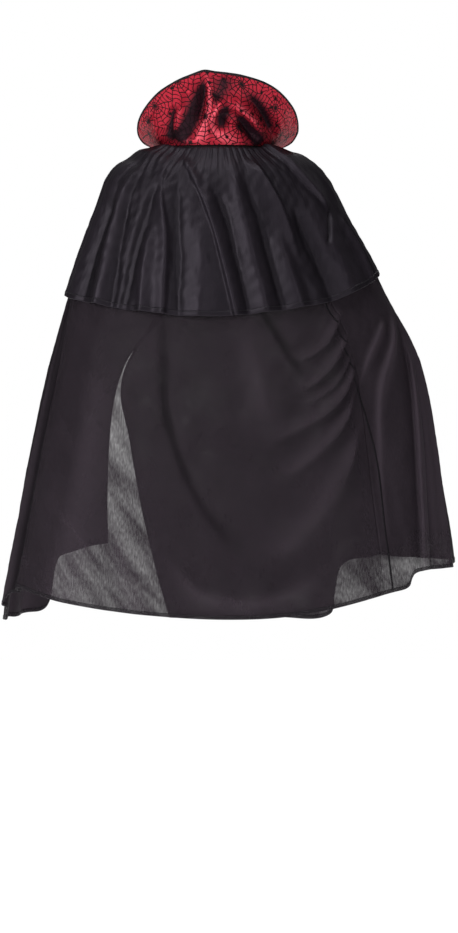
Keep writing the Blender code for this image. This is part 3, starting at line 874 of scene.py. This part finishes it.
def capelet(angle, share):
    """The capelet's cloth, with its pleats and folds."""
    angle, share = np.broadcast_arrays(np.asarray(angle, float), np.asarray(share, float))
    across, down = angle * capelet_step(0.6), share * CAPELET_LENGTH
    rise, over, under = creases(CAPELET_FOLDS + SIDE_FOLDS, angle, share, capelet_step, CAPELET_LENGTH)
    wander = 2.2 * waves(angle, 0 * angle, 31, 4) + 0.5 * waves(angle, share * 60, 25, 5)
    pleats = np.cos(np.radians(angle) * 62 + wander) * (0.6 + 0.4 * waves(angle, 0 * angle, 17, 6))
    fine = np.cos(np.radians(angle) * 131 + 2 * wander)
    rise = rise + (0.0012 * pleats + 0.0004 * fine) * np.exp(-share / 0.13) * np.clip(share / 0.03, 0.2, 1)
    rise = rise + 0.0016 * waves(across, down * 0.25, 0.026, 21) * np.clip(share * 4, 0, 1)
    rise = rise + 0.0009 * waves(across * 1.2, down * 0.8, 0.020, 23) * np.clip(share * 5, 0, 1)
    rise = rise + 0.0004 * waves(across * 1.5, down * 0.35, 0.011, 22) * np.clip(share * 6, 0, 1)
    lift = np.clip(share / 0.06, 0, 1)
    rise = np.maximum(rise, 0.0018 + 0.0040 * share - clear(share))
    along, downward, away = lie_of(smooth_capelet, angle, share)
    return (smooth_capelet(angle, share) + away * rise[..., None] + along * (over * lift)[..., None]
            + downward * (under * lift)[..., None])


satin = Finish("black satin", Specular_IOR_Level=0.27, Specular_Tint=(0.94, 0.84, 1.0))
flat = satin.on_cloth()
drawn = satin.noise(satin.on_cloth(1.0, 0.05), 700.0, 2.0, 0.6)
worn = satin.noise(flat, 38.0, 4.0, 0.6)
# The satin's colour takes painted shade in the folds' hollows and painted highlight on their crests from the
# depth number, over its random drawn and worn tone.
satin.give(satin.shader.inputs["Base Color"],
           satin.mix((drawn * 0.4 + worn * 0.4 + 0.1 + 0.6 * satin.painted("depth")).clamped(),
                    (0.0030, 0.0024, 0.0035), (0.0155, 0.0123, 0.0168)))
satin.give(satin.shader.inputs["Roughness"], 0.40 + 0.18 * worn)
satin.bump(drawn * 0.8 + worn * 0.6, 0.0003, 0.3)

CAPELET_HEM_FOLD, CAPELET_HEM_ROW = 0.007, 0.0056  # the bottom hem's depth, and its stitches' height
CAPELET_EDGE_FOLD, CAPELET_EDGE_ROW = 0.006, 0.0047  # the same for the front edges
piece, cut = sheet("capelet_cloth", capelet, lambda share: -capelet_edge(share), capelet_edge, 460, 104,
                   CLOTH, satin, depth=capelet_fold_shade)
angle = np.linspace(-float(capelet_edge(1.0)), float(capelet_edge(1.0)), 520)
lower, upper = (angle, 1.0 + 0 * angle), (angle, 1 - CAPELET_HEM_FOLD / CAPELET_LENGTH + 0 * angle)
hem = fold_over("capelet_hem", capelet, lower, upper, HEM_THICK, satin)
at = 1 - CAPELET_HEM_ROW / CAPELET_LENGTH + 0 * angle
made = [piece, hem, stitches("capelet_hem_stitches", lifted(capelet, angle, at, 0.0010))]
for side, way in (("left", 1), ("right", -1)):
    share = np.linspace(0.02, 0.997, 90)
    line, turn = way * capelet_edge(share), -way / capelet_step(share)
    made.append(fold_over("capelet_" + side + "_edge", capelet, (line, share),
                          (line + turn * CAPELET_EDGE_FOLD, share), 0.0008, satin))
    angle = line + turn * CAPELET_EDGE_ROW
    made.append(stitches("capelet_" + side + "_stitches", lifted(capelet, angle, share, 0.0009)))
for part in made:
    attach(part, "cape")
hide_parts("capelet")


# ---- The collar ----------------------------------------------------------------------------------
# A crescent of printed red satin on both faces of a stiff interlining. It stands on the neck seam and
# leans out, and it is crumpled at the back from being folded.

NECK_WIDE, NECK_BACK, NECK_FRONT, NECK_TILT = 0.076, 0.068, 0.066, 0.015
COLLAR_END = 150
HEIGHT = [(-150, 0.040), (-115, 0.050), (-90, 0.061), (-70, 0.076), (-45, 0.097), (-20, 0.108), (0, 0.1105),
          (20, 0.109), (45, 0.092), (70, 0.069), (90, 0.056), (115, 0.047), (150, 0.038)]
LEAN_FOOT = [(0, 4), (45, 12), (70, 22), (90, 36), (115, 58), (150, 66)]
LEAN_EDGE = [(0, 22), (45, 34), (70, 46), (90, 62), (115, 88), (150, 98)]
COLLAR_FOLDS = [
    (0.0, [(0.92, 17, 0.010, 0.004), (0.66, 25, 0.012, 0.006), (0.42, 36, 0.013, 0.006),
           (0.13, 52, 0.014, 0.004)]),
    (-0.35, [(0.97, 12.5, 0.007, -0.005), (0.70, 13.5, 0.010, -0.011), (0.38, 20, 0.012, -0.012),
             (0.18, 28, 0.012, -0.009), (0.03, 35, 0.010, -0.004)]),
    (0.0, [(1.0, 9, 0.006, 0.004), (0.70, 8.5, 0.005, 0.005), (0.38, 13, 0.006, 0.006),
           (0.18, 19.5, 0.008, 0.007), (0.0, 27, 0.010, 0.004)]),
    (0.0, [(1.0, -8, 0.020, -0.004), (0.75, -6, 0.020, -0.006), (0.55, 0, 0.012, -0.005)]),
    (0.0, [(0.60, -7.5, 0.005, 0.003), (0.50, -1, 0.005, 0.007), (0.38, 5.0, 0.005, 0.008),
           (0.26, 6.5, 0.005, 0.007), (0.15, 1.0, 0.006, 0.006), (0.09, -13, 0.007, 0.004)]),
    (0.0, [(0.50, -10, 0.010, -0.006), (0.36, -12, 0.012, -0.010), (0.22, -14, 0.010, -0.006)]),
    (0.0, [(0.60, -10, 0.006, 0.004), (0.47, -26, 0.007, 0.009), (0.30, -43, 0.008, 0.008),
           (0.05, -62, 0.010, 0.004)]),
    (0.0, [(0.42, -19, 0.006, -0.005), (0.28, -31, 0.008, -0.009), (0.08, -48, 0.009, -0.007)]),
    (0.0, [(0.72, -22, 0.008, -0.004), (0.58, -42, 0.009, -0.009), (0.42, -60, 0.010, -0.008),
           (0.20, -72, 0.010, -0.004)]),
    (0.0, [(0.85, -45, 0.020, 0.003), (0.65, -66, 0.022, 0.005), (0.35, -84, 0.02, 0.003)]),
    (0.0, [(0.68, 40, 0.006, -0.002), (0.50, 46.5, 0.007, -0.005), (0.12, 58, 0.008, -0.004)]),
    (0.0, [(0.80, 62, 0.015, 0.003), (0.50, 72, 0.018, 0.004), (0.15, 78, 0.018, 0.002)]),
]
# Lines of painted shade, below 0, and painted highlight, above 0, on the outer cloth along its crumples:
# (lean, rows of (share, angle, width, strength)).
COLLAR_PAINTED_SHADE_AND_HIGHLIGHT = [
    (0.0, [(0.93, 10.8, 0.004, -0.9), (0.80, 13.0, 0.008, -1.2), (0.62, 18.5, 0.011, -1.2),
           (0.42, 26, 0.014, -1.1), (0.25, 34, 0.015, -1.2), (0.10, 43, 0.018, -1.2),
           (0.0, 50, 0.018, -1.2)]),
    (0.0, [(1.0, 8.9, 0.003, 1.0), (0.70, 7.6, 0.0035, 1.7), (0.45, 9.5, 0.0040, 1.7),
           (0.30, 13, 0.0055, 1.8), (0.15, 18.5, 0.009, 2.0), (0.0, 23, 0.012, 1.8)]),
    (0.0, [(0.97, -4, 0.016, -0.8), (0.82, -6, 0.017, -0.85), (0.70, -3, 0.012, -0.8),
           (0.48, 5.5, 0.003, -0.9)]),
    (0.0, [(0.60, -9, 0.003, 1.0), (0.52, -1, 0.003, 1.5), (0.38, 3.6, 0.0034, 1.6), (0.27, 4.2, 0.0034, 1.5),
           (0.17, 0.0, 0.005, 1.2), (0.08, -14, 0.009, 1.1), (0.04, -28, 0.009, 0.9)]),
    (0.0, [(0.56, -16, 0.008, -0.9), (0.43, -7, 0.012, -1.1), (0.30, -5, 0.012, -1.0),
           (0.20, -11, 0.008, -0.6)]),
    (0.0, [(0.60, -16, 0.003, 0.4), (0.52, -24, 0.004, 1.0), (0.40, -36, 0.005, 1.1),
           (0.26, -50, 0.006, 0.9)]),
    (0.0, [(0.47, -17, 0.007, -1.1), (0.36, -27, 0.010, -1.2), (0.22, -38, 0.013, -1.3),
           (0.08, -50, 0.015, -1.3), (0.0, -56, 0.014, -1.2)]),
    (0.0, [(0.80, -20, 0.007, -0.7), (0.68, -36, 0.011, -0.95), (0.54, -50, 0.011, -1.05),
           (0.40, -63, 0.010, -1.0), (0.24, -72, 0.007, -0.6)]),
    (0.0, [(0.68, 38, 0.004, -0.7), (0.50, 46, 0.006, -1.0), (0.28, 54, 0.009, -1.2),
           (0.08, 62, 0.011, -1.1)]),
    (0.0, [(0.62, 31, 0.004, 0.5), (0.45, 38, 0.004, 0.9), (0.25, 46, 0.004, 0.6)]),
    (0.0, [(0.25, 84, 0.012, -0.7), (0.0, 90, 0.014, -1.0)]),
                  (0.0, [(0.25, -84, 0.012, -0.7), (0.0, -90, 0.014, -1.0)]),
]
collar_height, lean_foot, lean_edge = table(HEIGHT), table(LEAN_FOOT), table(LEAN_EDGE)


def neckline(angle, out=0.0, up=0.0):
    s, c = np.sin(np.radians(angle)), np.cos(np.radians(angle))
    deep = np.where(c > 0, NECK_BACK, NECK_FRONT)
    return np.stack([(NECK_WIDE + out) * s, (deep + out) * c, up - NECK_TILT * ((1 - c) / 2) ** 2], -1)


def collar_tall(angle):
    """The collar's length up from the seam. Its ends are rounded down to the seam."""
    end = np.clip((COLLAR_END - np.abs(angle)) / 22.0, 0, 1)
    return collar_height(angle) * (0.16 + 0.84 * np.sqrt(end * (2 - end)))


COLLAR_LENGTH = 0.11  # the height on which the folds' shares are read


def smooth_collar(angle, share):
    """The collar without its crumples. The share runs up from the seam."""
    size = np.abs(angle)
    foot, edge = np.radians(lean_foot(size)), np.radians(lean_edge(size))
    bend = (edge - foot) / collar_height(angle)
    lean = foot + bend * collar_tall(angle) * share
    s, c = np.sin(np.radians(angle)), np.cos(np.radians(angle))
    flat = np.stack([s / NECK_WIDE, c / np.where(c > 0, NECK_BACK, NECK_FRONT)], -1)
    flat = flat / np.linalg.norm(flat, axis=-1, keepdims=True)
    reach, rise = (np.cos(foot) - np.cos(lean)) / bend, (np.sin(lean) - np.sin(foot)) / bend
    return neckline(angle, 0.0035, 0.003) + np.stack([flat[..., 0] * reach, flat[..., 1] * reach, rise], -1)


collar_step = metres_per_degree(smooth_collar, 0.0)


def crumpled_collar(angle, share):
    angle, share = np.broadcast_arrays(np.asarray(angle, float), np.asarray(share, float))
    across, up = angle * collar_step(share), share * COLLAR_LENGTH
    rise, over, under = creases(COLLAR_FOLDS, angle, share, collar_step, COLLAR_LENGTH)
    rise = rise + 0.0012 * waves(across, up, 0.035, 31) + 0.0004 * waves(across, up, 0.012, 32)
    held = np.clip(share / 0.10, 0.06, 1)
    along, _, inward = lie_of(smooth_collar, angle, share)
    place = smooth_collar(angle, share) - inward * (rise * held)[..., None] + along * (over * held)[..., None]
    place[..., 2] += 0.0032 * np.exp(-(((angle - 10) / 7) ** 2)) * share**3
    return place


def collar_painted_shade(angle, share):
    """Painted shade, down to -1, in the outer cloth's hollows, and painted highlight, up to 1, on its ridges.
    """
    angle, share = np.broadcast_arrays(angle, share)
    return np.clip(creases(COLLAR_PAINTED_SHADE_AND_HIGHLIGHT, angle, share, collar_step, COLLAR_LENGTH)[0], -1, 1)


def collar(out):
    """The collar's surface, moved outwards by a distance."""
    return lambda angle, share: (crumpled_collar(angle, share)
                                 - outward(crumpled_collar, angle, share) * out)


red = Finish("printed red satin", Specular_IOR_Level=0.10, Metallic=0.30)
WEB, SPOKES, THREAD, SAG, RING_GAP = 0.054, 13, 0.0005, 0.085, 0.0052
SPIDER, BODY, REACH, LEGS = 0.027, 0.0021, 0.0036, 8
flat = red.on_cloth()


def printed(size, loose):
    """The nearest point of a scattered pattern: the way from it, its own number, and how many metres off."""
    cells = red.node("TexVoronoi", {"voronoi_dimensions": "2D"}, Vector=flat, Scale=1 / size,
                     Randomness=loose)
    way = red.node("VectorMath", {"operation": "SUBTRACT"}, flat, red.out(cells, "Position"))
    parts = red.node("SeparateXYZ", {}, red.out(way))
    chance = red.out(red.node("SeparateColor", {}, red.out(cells, "Color")))
    far = red.out(red.node("VectorMath", {"operation": "LENGTH"}, red.out(way)), "Value")
    return red.out(parts, "Y").maths("ARCTAN2", red.out(parts, "X")), chance, far


def rays(turned, far, count):
    """How far the nearest of some rays from a point is, and where between two of them a place lies."""
    between = (turned * (count / (2 * math.pi)) + 40.0).part()
    return between.maths("MINIMUM", 1 - between) * far * (2 * math.pi / count), between


turned, chance, far = printed(WEB, 0.75)
spoke, between = rays(turned + chance * 6.0, far, SPOKES)
sag = between * (1 - between) * 4.0
ring = abs(((far * (1 + sag * SAG) / RING_GAP) ** 0.88 + chance).part() - 0.5) * 0.0068
web = spoke.below(THREAD, 0.00045).maths("MAXIMUM", ring.below(THREAD, 0.00045))
spun = web.maths("MAXIMUM", far.below(0.0020, 0.0005))
turned, chance, far = printed(SPIDER, 0.85)
leg, between = rays(turned + chance * 6.0, far, LEGS)
spider = far.below(BODY, 0.0005).maths("MAXIMUM", leg.below(0.0003, 0.0003) * far.below(REACH, 0.0004))
print_mask = spun.maths("MAXIMUM", spider * chance.maths("GREATER_THAN", 0.35))
weft = red.noise(red.on_cloth(1.0, 0.08), 650.0, 2.0, 0.6)
tone = red.noise(flat, 30.0, 3.0, 0.5)
cloth_red = red.mix(weft * 0.5 + tone * 0.5, (0.38, 0.014, 0.030), (0.60, 0.028, 0.054))
# The depth number paints near-black shade into the collar's hollows and a pink highlight onto its ridges.
depth = red.painted("depth")
cloth_red = red.mix((depth * -1.15).clamped(), cloth_red, (0.026, 0.008, 0.014))
cloth_red = red.mix((depth * 0.9).clamped(), cloth_red, (1.0, 0.13, 0.18))
red.give(red.shader.inputs["Base Color"], red.mix(print_mask, cloth_red, (0.010, 0.005, 0.007)))
red.give(red.shader.inputs["Roughness"], 0.32 + 0.10 * tone + 0.12 * print_mask)
red.bump(weft * 0.7 + print_mask * 0.3, 0.0002, 0.5)

core = Finish("interlining", Base_Color=(0.72, 0.71, 0.67), Roughness=0.95)
core.bump(core.noise(core.on_cloth(), 900.0, 3.0), 0.0003, 0.6)


def collar_sheet(name, out, thick, finish):
    made, cut = sheet(name, collar(out), lambda share: -COLLAR_END + 0 * share,
                      lambda share: COLLAR_END + 0 * share, 420, 90, thick, finish, 0.0, 0.985,
                      depth=collar_painted_shade if out > 0 else lambda angle, share: 0 * share)
    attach(made, "cape")
    return made, cut


for name, out, thick, finish, slot, node in (
        ("collar_outer_cloth", 0.00075, 0.0004, red, "collar_print", "collar_outer"),
        ("collar_core_cloth", 0.0, 0.0006, core, "collar_core", "collar_interlining"),
        ("collar_lining_cloth", -0.00075, 0.0004, red, "collar_print", "collar_lining")):
    made, cut = collar_sheet(name, out, thick, finish)
    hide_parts(node)


# The binding is a narrow black tape folded over the top edge and stitched through both faces.
tape = Finish("black binding tape", Roughness=0.6, Specular_IOR_Level=0.15)
ribs = (tape.out(tape.node("SeparateXYZ", {}, tape.on_cloth())) * (2 * math.pi / 0.0009)).sine()
tape.give(tape.shader.inputs["Base Color"], tape.mix(ribs * 0.5 + 0.5, (0.006, 0.005, 0.007),
                                                     (0.016, 0.014, 0.017)))
tape.bump(ribs, 0.0002, 0.5)
angle = COLLAR_END * np.sin(np.linspace(-math.pi / 2, math.pi / 2, 360))
tall = collar_tall(angle)
section = [(0.0024, 0.0016), (0.0012, 0.0017), (0.0002, 0.0013), (-0.0004, 0.0), (0.0002, -0.0013),
           (0.0012, -0.0017), (0.0024, -0.0016), (0.0024, -0.0011), (0.0007, -0.0011), (0.0007, 0.0011),
           (0.0024, 0.0011), (0.0024, 0.0016)]
rings = []
for low, out in section:
    at = 1 - low / tall
    rings.append(crumpled_collar(angle, at) - outward(crumpled_collar, angle, np.minimum(at, 1)) * out)
binding = closed_strip("collar_edge_binding", np.stack(rings, 1), tape)
at = 1 - 0.0016 / tall
rows = [crumpled_collar(angle, at) - outward(crumpled_collar, angle, at) * out for out in (0.0018, -0.0018)]
row = stitches("collar_binding_stitches", rows, pitch=0.0026, length=0.0019)
for part in (binding, row):
    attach(part, "cape")
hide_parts("collar_binding")


# ---- The neck band and its closing ---------------------------------------------------------------
# A black twill tape inside the neck seam carries the weight. Its left end runs on as a tab, which
# closes with hook and loop over the right end at the centre front.

twill = Finish("black twill tape", Roughness=0.68, Specular_IOR_Level=0.3)
where = twill.node("SeparateXYZ", {}, twill.on_cloth())
ribs = ((twill.out(where) + twill.out(where, "Y")) * (2 * math.pi / 0.0011)).sine()
fuzz = twill.noise(twill.on_cloth(), 1400.0, 3.0)
twill.give(twill.shader.inputs["Base Color"], twill.mix(ribs * 0.3 + fuzz * 0.7, (0.008, 0.008, 0.009),
                                                        (0.022, 0.021, 0.023)))
twill.bump(ribs * 0.6 + fuzz * 0.4, 0.0003, 0.7)


def strap(name, first, last, low, high, inside, outside, count, finish, slot, body):
    """A flat tape along the neckline, with softened edges."""
    angle = np.linspace(first, last, count)
    soft = min(0.0005, (outside - inside) / 2.5)
    corners = [(inside + soft, low), (outside - soft, low), (outside, low + soft), (outside, high - soft),
               (outside - soft, high), (inside + soft, high), (inside, high - soft), (inside, low + soft),
               (inside + soft, low)]
    made = closed_strip(name, np.stack([neckline(angle, out, up) for out, up in corners], 1), finish)
    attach(made, body)
    return made


BAND_LOW, BAND_HIGH, BAND_THICK = -0.008, 0.016, 0.0014
TAB_MIDDLE, TAB_HALF, PATCH_HALF = 0.007, 0.007, 0.005
TAB_START, TAB_STOP, PATCH_START, PATCH_STOP = -189, -157, -177, -159
TAB_OUT, HOOKS_OUT, LOOPS_OUT = (0.0046, 0.0060), (0.0038, 0.0044), (0.0016, 0.0021)
band = strap("neck_tape", -178, 173, BAND_LOW, BAND_HIGH, 0.0, BAND_THICK, 240, twill, "edge_tape", "cape")
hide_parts("neck_band")
tab = strap("closing_tab_tape", TAB_START, TAB_STOP, TAB_MIDDLE - TAB_HALF, TAB_MIDDLE + TAB_HALF, *TAB_OUT,
            40, twill, "edge_tape", "tab")
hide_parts("closing_tab")
angle = np.linspace(-177, 172, 260)
row = stitches("neck_tape_stitches", [neckline(angle, 0.0016, 0.0145), neckline(angle, -0.0002, 0.0145),
                                      neckline(angle, -0.0002, -0.0065)], pitch=0.0032)
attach(row, "cape")
round_tab = [(TAB_START + 1, -0.0058), (TAB_STOP - 1, -0.0058), (TAB_STOP - 1, 0.0058),
             (TAB_START + 1, 0.0058), (TAB_START + 1, -0.0058)]
line = np.concatenate([np.linspace(a, b, 30)[:-1] for a, b in zip(round_tab, round_tab[1:])])
row = stitches("closing_tab_stitches", neckline(line[:, 0], 0.0062, TAB_MIDDLE + line[:, 1]), pitch=0.0028)
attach(row, "tab")

woven = Finish("black nylon tape", Base_Color=(0.012, 0.012, 0.013), Roughness=0.6)
woven.bump(woven.noise(woven.on_cloth(), 2200.0, 2.0), 0.0002, 0.8)
nylon = Finish("black nylon hooks", Base_Color=(0.018, 0.018, 0.020), Roughness=0.35)
pile = Finish("black nylon pile", Base_Color=(0.022, 0.022, 0.024), Roughness=0.8)
pile.bump(pile.noise(pile.out(pile.node("TexCoord", {}), "Object"), 3000.0, 2.0), 0.0002, 0.6)
PATCH_HEIGHTS = (TAB_MIDDLE - PATCH_HALF, TAB_MIDDLE + PATCH_HALF)
hook_tape = strap("hook_tape_base", PATCH_START, PATCH_STOP, *PATCH_HEIGHTS, *HOOKS_OUT, 24, woven,
                  "hook_tape", "tab")
loop_tape = strap("loop_tape_base", PATCH_START, PATCH_STOP, *PATCH_HEIGHTS, *LOOPS_OUT, 24, woven,
                  "loop_tape", "cape")
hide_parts("hook_strip")
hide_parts("loop_strip")


def small_arch(name, path, radius):
    """One bent fibre with three sides, about a path of places."""
    path = np.array(path, float)
    run = np.gradient(path, axis=0)
    run /= np.linalg.norm(run, axis=1, keepdims=True)
    side = np.cross(run, [0.0, 1.0, 0.0])
    turns = np.linspace(0, 2 * math.pi, 4)
    rim = [side * math.cos(t) + np.array([0, 1, 0]) * math.sin(t) for t in turns]
    places = np.stack([path + radius * corner for corner in rim], 1)
    made = cloth_mesh(name, places, places[..., 0], places[..., 1], nylon, True)
    turned_out(made)
    mesh = made.data
    bpy.data.objects.remove(made)
    return mesh


def scatter_tree():
    """Geometry nodes that stand one small shape on every point, turned by chance about its own foot."""
    tree = bpy.data.node_groups.new("fibres", "GeometryNodeTree")
    face = tree.interface
    for name, kind in (("Points", "NodeSocketGeometry"), ("Shape", "NodeSocketObject"),
                       ("Turn", "NodeSocketFloat"), ("Seed", "NodeSocketInt"),
                       ("Finish", "NodeSocketMaterial")):
        face.new_socket(name, in_out="INPUT", socket_type=kind)
    face.new_socket("Fibres", in_out="OUTPUT", socket_type="NodeSocketGeometry")
    nodes, links = tree.nodes, tree.links
    given, ends = nodes.new("NodeGroupInput"), nodes.new("NodeGroupOutput")
    shape = nodes.new("GeometryNodeObjectInfo")
    links.new(given.outputs["Shape"], shape.inputs["Object"])
    facing = nodes.new("FunctionNodeAlignRotationToVector")
    facing.axis = "Z"
    away = nodes.new("GeometryNodeInputNamedAttribute")
    away.data_type = "FLOAT_VECTOR"
    away.inputs["Name"].default_value = "away"
    links.new(away.outputs["Attribute"], facing.inputs["Vector"])
    chance = nodes.new("FunctionNodeRandomValue")
    chance.data_type = "FLOAT"
    chance.inputs[2].default_value = 0.0
    links.new(given.outputs["Turn"], chance.inputs[3])
    links.new(given.outputs["Seed"], chance.inputs["Seed"])
    spin = nodes.new("FunctionNodeAxisAngleToRotation")
    spin.inputs["Axis"].default_value = (0, 0, 1)
    links.new(chance.outputs[1], spin.inputs["Angle"])
    turn = nodes.new("FunctionNodeRotateRotation")
    turn.rotation_space = "LOCAL"
    links.new(facing.outputs[0], turn.inputs[0])
    links.new(spin.outputs[0], turn.inputs[1])
    stand = nodes.new("GeometryNodeInstanceOnPoints")
    links.new(given.outputs["Points"], stand.inputs["Points"])
    links.new(shape.outputs["Geometry"], stand.inputs["Instance"])
    links.new(turn.outputs[0], stand.inputs["Rotation"])
    real, dress = nodes.new("GeometryNodeRealizeInstances"), nodes.new("GeometryNodeSetMaterial")
    links.new(stand.outputs[0], real.inputs[0])
    links.new(real.outputs[0], dress.inputs["Geometry"])
    links.new(given.outputs["Finish"], dress.inputs["Material"])
    links.new(dress.outputs[0], ends.inputs[0])
    return tree


fibres = scatter_tree()


def stand_fibres(name, angles, heights, out, way, path, radius, turn, finish, body):
    """Fibres on a tape at angles and heights, pointing away from the neck or towards it."""
    angle, up = [grid.ravel() for grid in np.meshgrid(angles, heights)]
    places = neckline(angle, out, up)
    away = neckline(angle, out + 0.001, up) - places
    away = away / np.linalg.norm(away, axis=1, keepdims=True) * way
    mesh = bpy.data.meshes.new(name)
    mesh.from_pydata(places.tolist(), [], [])
    pointing = mesh.attributes.new("away", "FLOAT_VECTOR", "POINT")
    pointing.data.foreach_set("vector", away.astype(np.float32).ravel())
    piece = bpy.data.objects.new(name, mesh)
    bpy.context.scene.collection.objects.link(piece)
    shape = bpy.data.objects.new(name + "_one", small_arch(name + "_one", path, radius))
    bpy.context.scene.collection.objects.link(shape)
    stood = piece.modifiers.new("fibres", "NODES")
    stood.node_group = fibres
    sockets = {s.name: s.identifier for s in fibres.interface.items_tree if s.in_out == "INPUT"}
    for key, value in (("Shape", shape), ("Turn", turn), ("Seed", 7), ("Finish", finish.material)):
        stood[sockets[key]] = value
    made_plain(piece)
    bpy.data.objects.remove(shape)
    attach(piece, body)
    return piece


stand_fibres("hook_tape_hooks", np.linspace(PATCH_START + 0.6, PATCH_STOP - 0.6, 20),
             TAB_MIDDLE + np.linspace(-0.0043, 0.0043, 9), 0.0038, -1,
             [(0, 0, 0), (0.00002, 0, 0.0003), (0.00012, 0, 0.00055), (0.0003, 0, 0.00062),
              (0.00042, 0, 0.0005)],
             0.00009, 0.4, nylon, "tab")
stand_fibres("loop_tape_loops", np.linspace(PATCH_START + 0.4, PATCH_STOP - 0.4, 34),
             TAB_MIDDLE + np.linspace(-0.0045, 0.0045, 16), 0.0020, 1,
             [(-0.0004, 0, 0), (-0.00042, 0, 0.0003), (-0.0002, 0, 0.00062), (0.0001, 0, 0.0007),
              (0.00035, 0, 0.0005), (0.0004, 0, 0.0001)], 0.00005, 6.28, pile, "cape")


# ---- The care label ------------------------------------------------------------------------------
# A plain white satin tape, folded in half and caught in the neck seam inside the back.

white = Finish("white label satin", Specular_IOR_Level=0.5, Roughness=0.42)
warp = white.noise(white.on_cloth(1.0, 0.1), 1500.0, 2.0)
white.give(white.shader.inputs["Base Color"], white.mix(warp, (0.62, 0.62, 0.60), (0.80, 0.80, 0.78)))
white.bump(warp, 0.0002, 0.4)
LABEL_HALF, LABEL_LONG = 0.013, 0.033
LABEL_TOP = (0.0, 0.06555, 0.004)


def label(angle, share):
    """The label hangs down and comes back up behind itself, with a soft curl across."""
    down = np.abs(1 - 2 * share)
    fold = np.sin(math.pi * rising(share, 0.47, 0.06) / 2) ** 2
    curl = 0.0007 * (angle / LABEL_HALF) ** 2 * (1 - down)
    return np.stack([angle + LABEL_TOP[0] + 0 * share,
                     LABEL_TOP[1] - 0.0006 + 0.0008 * fold - curl - 0.0006 * (1 - down),
                     LABEL_TOP[2] - LABEL_LONG * (1 - down)], -1)


piece, cut = sheet("care_label_tape", label, lambda share: -LABEL_HALF + 0 * share,
                   lambda share: LABEL_HALF + 0 * share, 24, 80, 0.00025, white)
line = np.linspace(-0.0122, 0.0122, 12)
row = stitches("care_label_stitches", np.stack([line, 0 * line + LABEL_TOP[1] - 0.0009, 0 * line + 0.002],
                                               -1),
               pitch=0.0024, length=0.0018, finish=white)
for part in (piece, row):
    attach(part, "cape")
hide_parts("care_label")
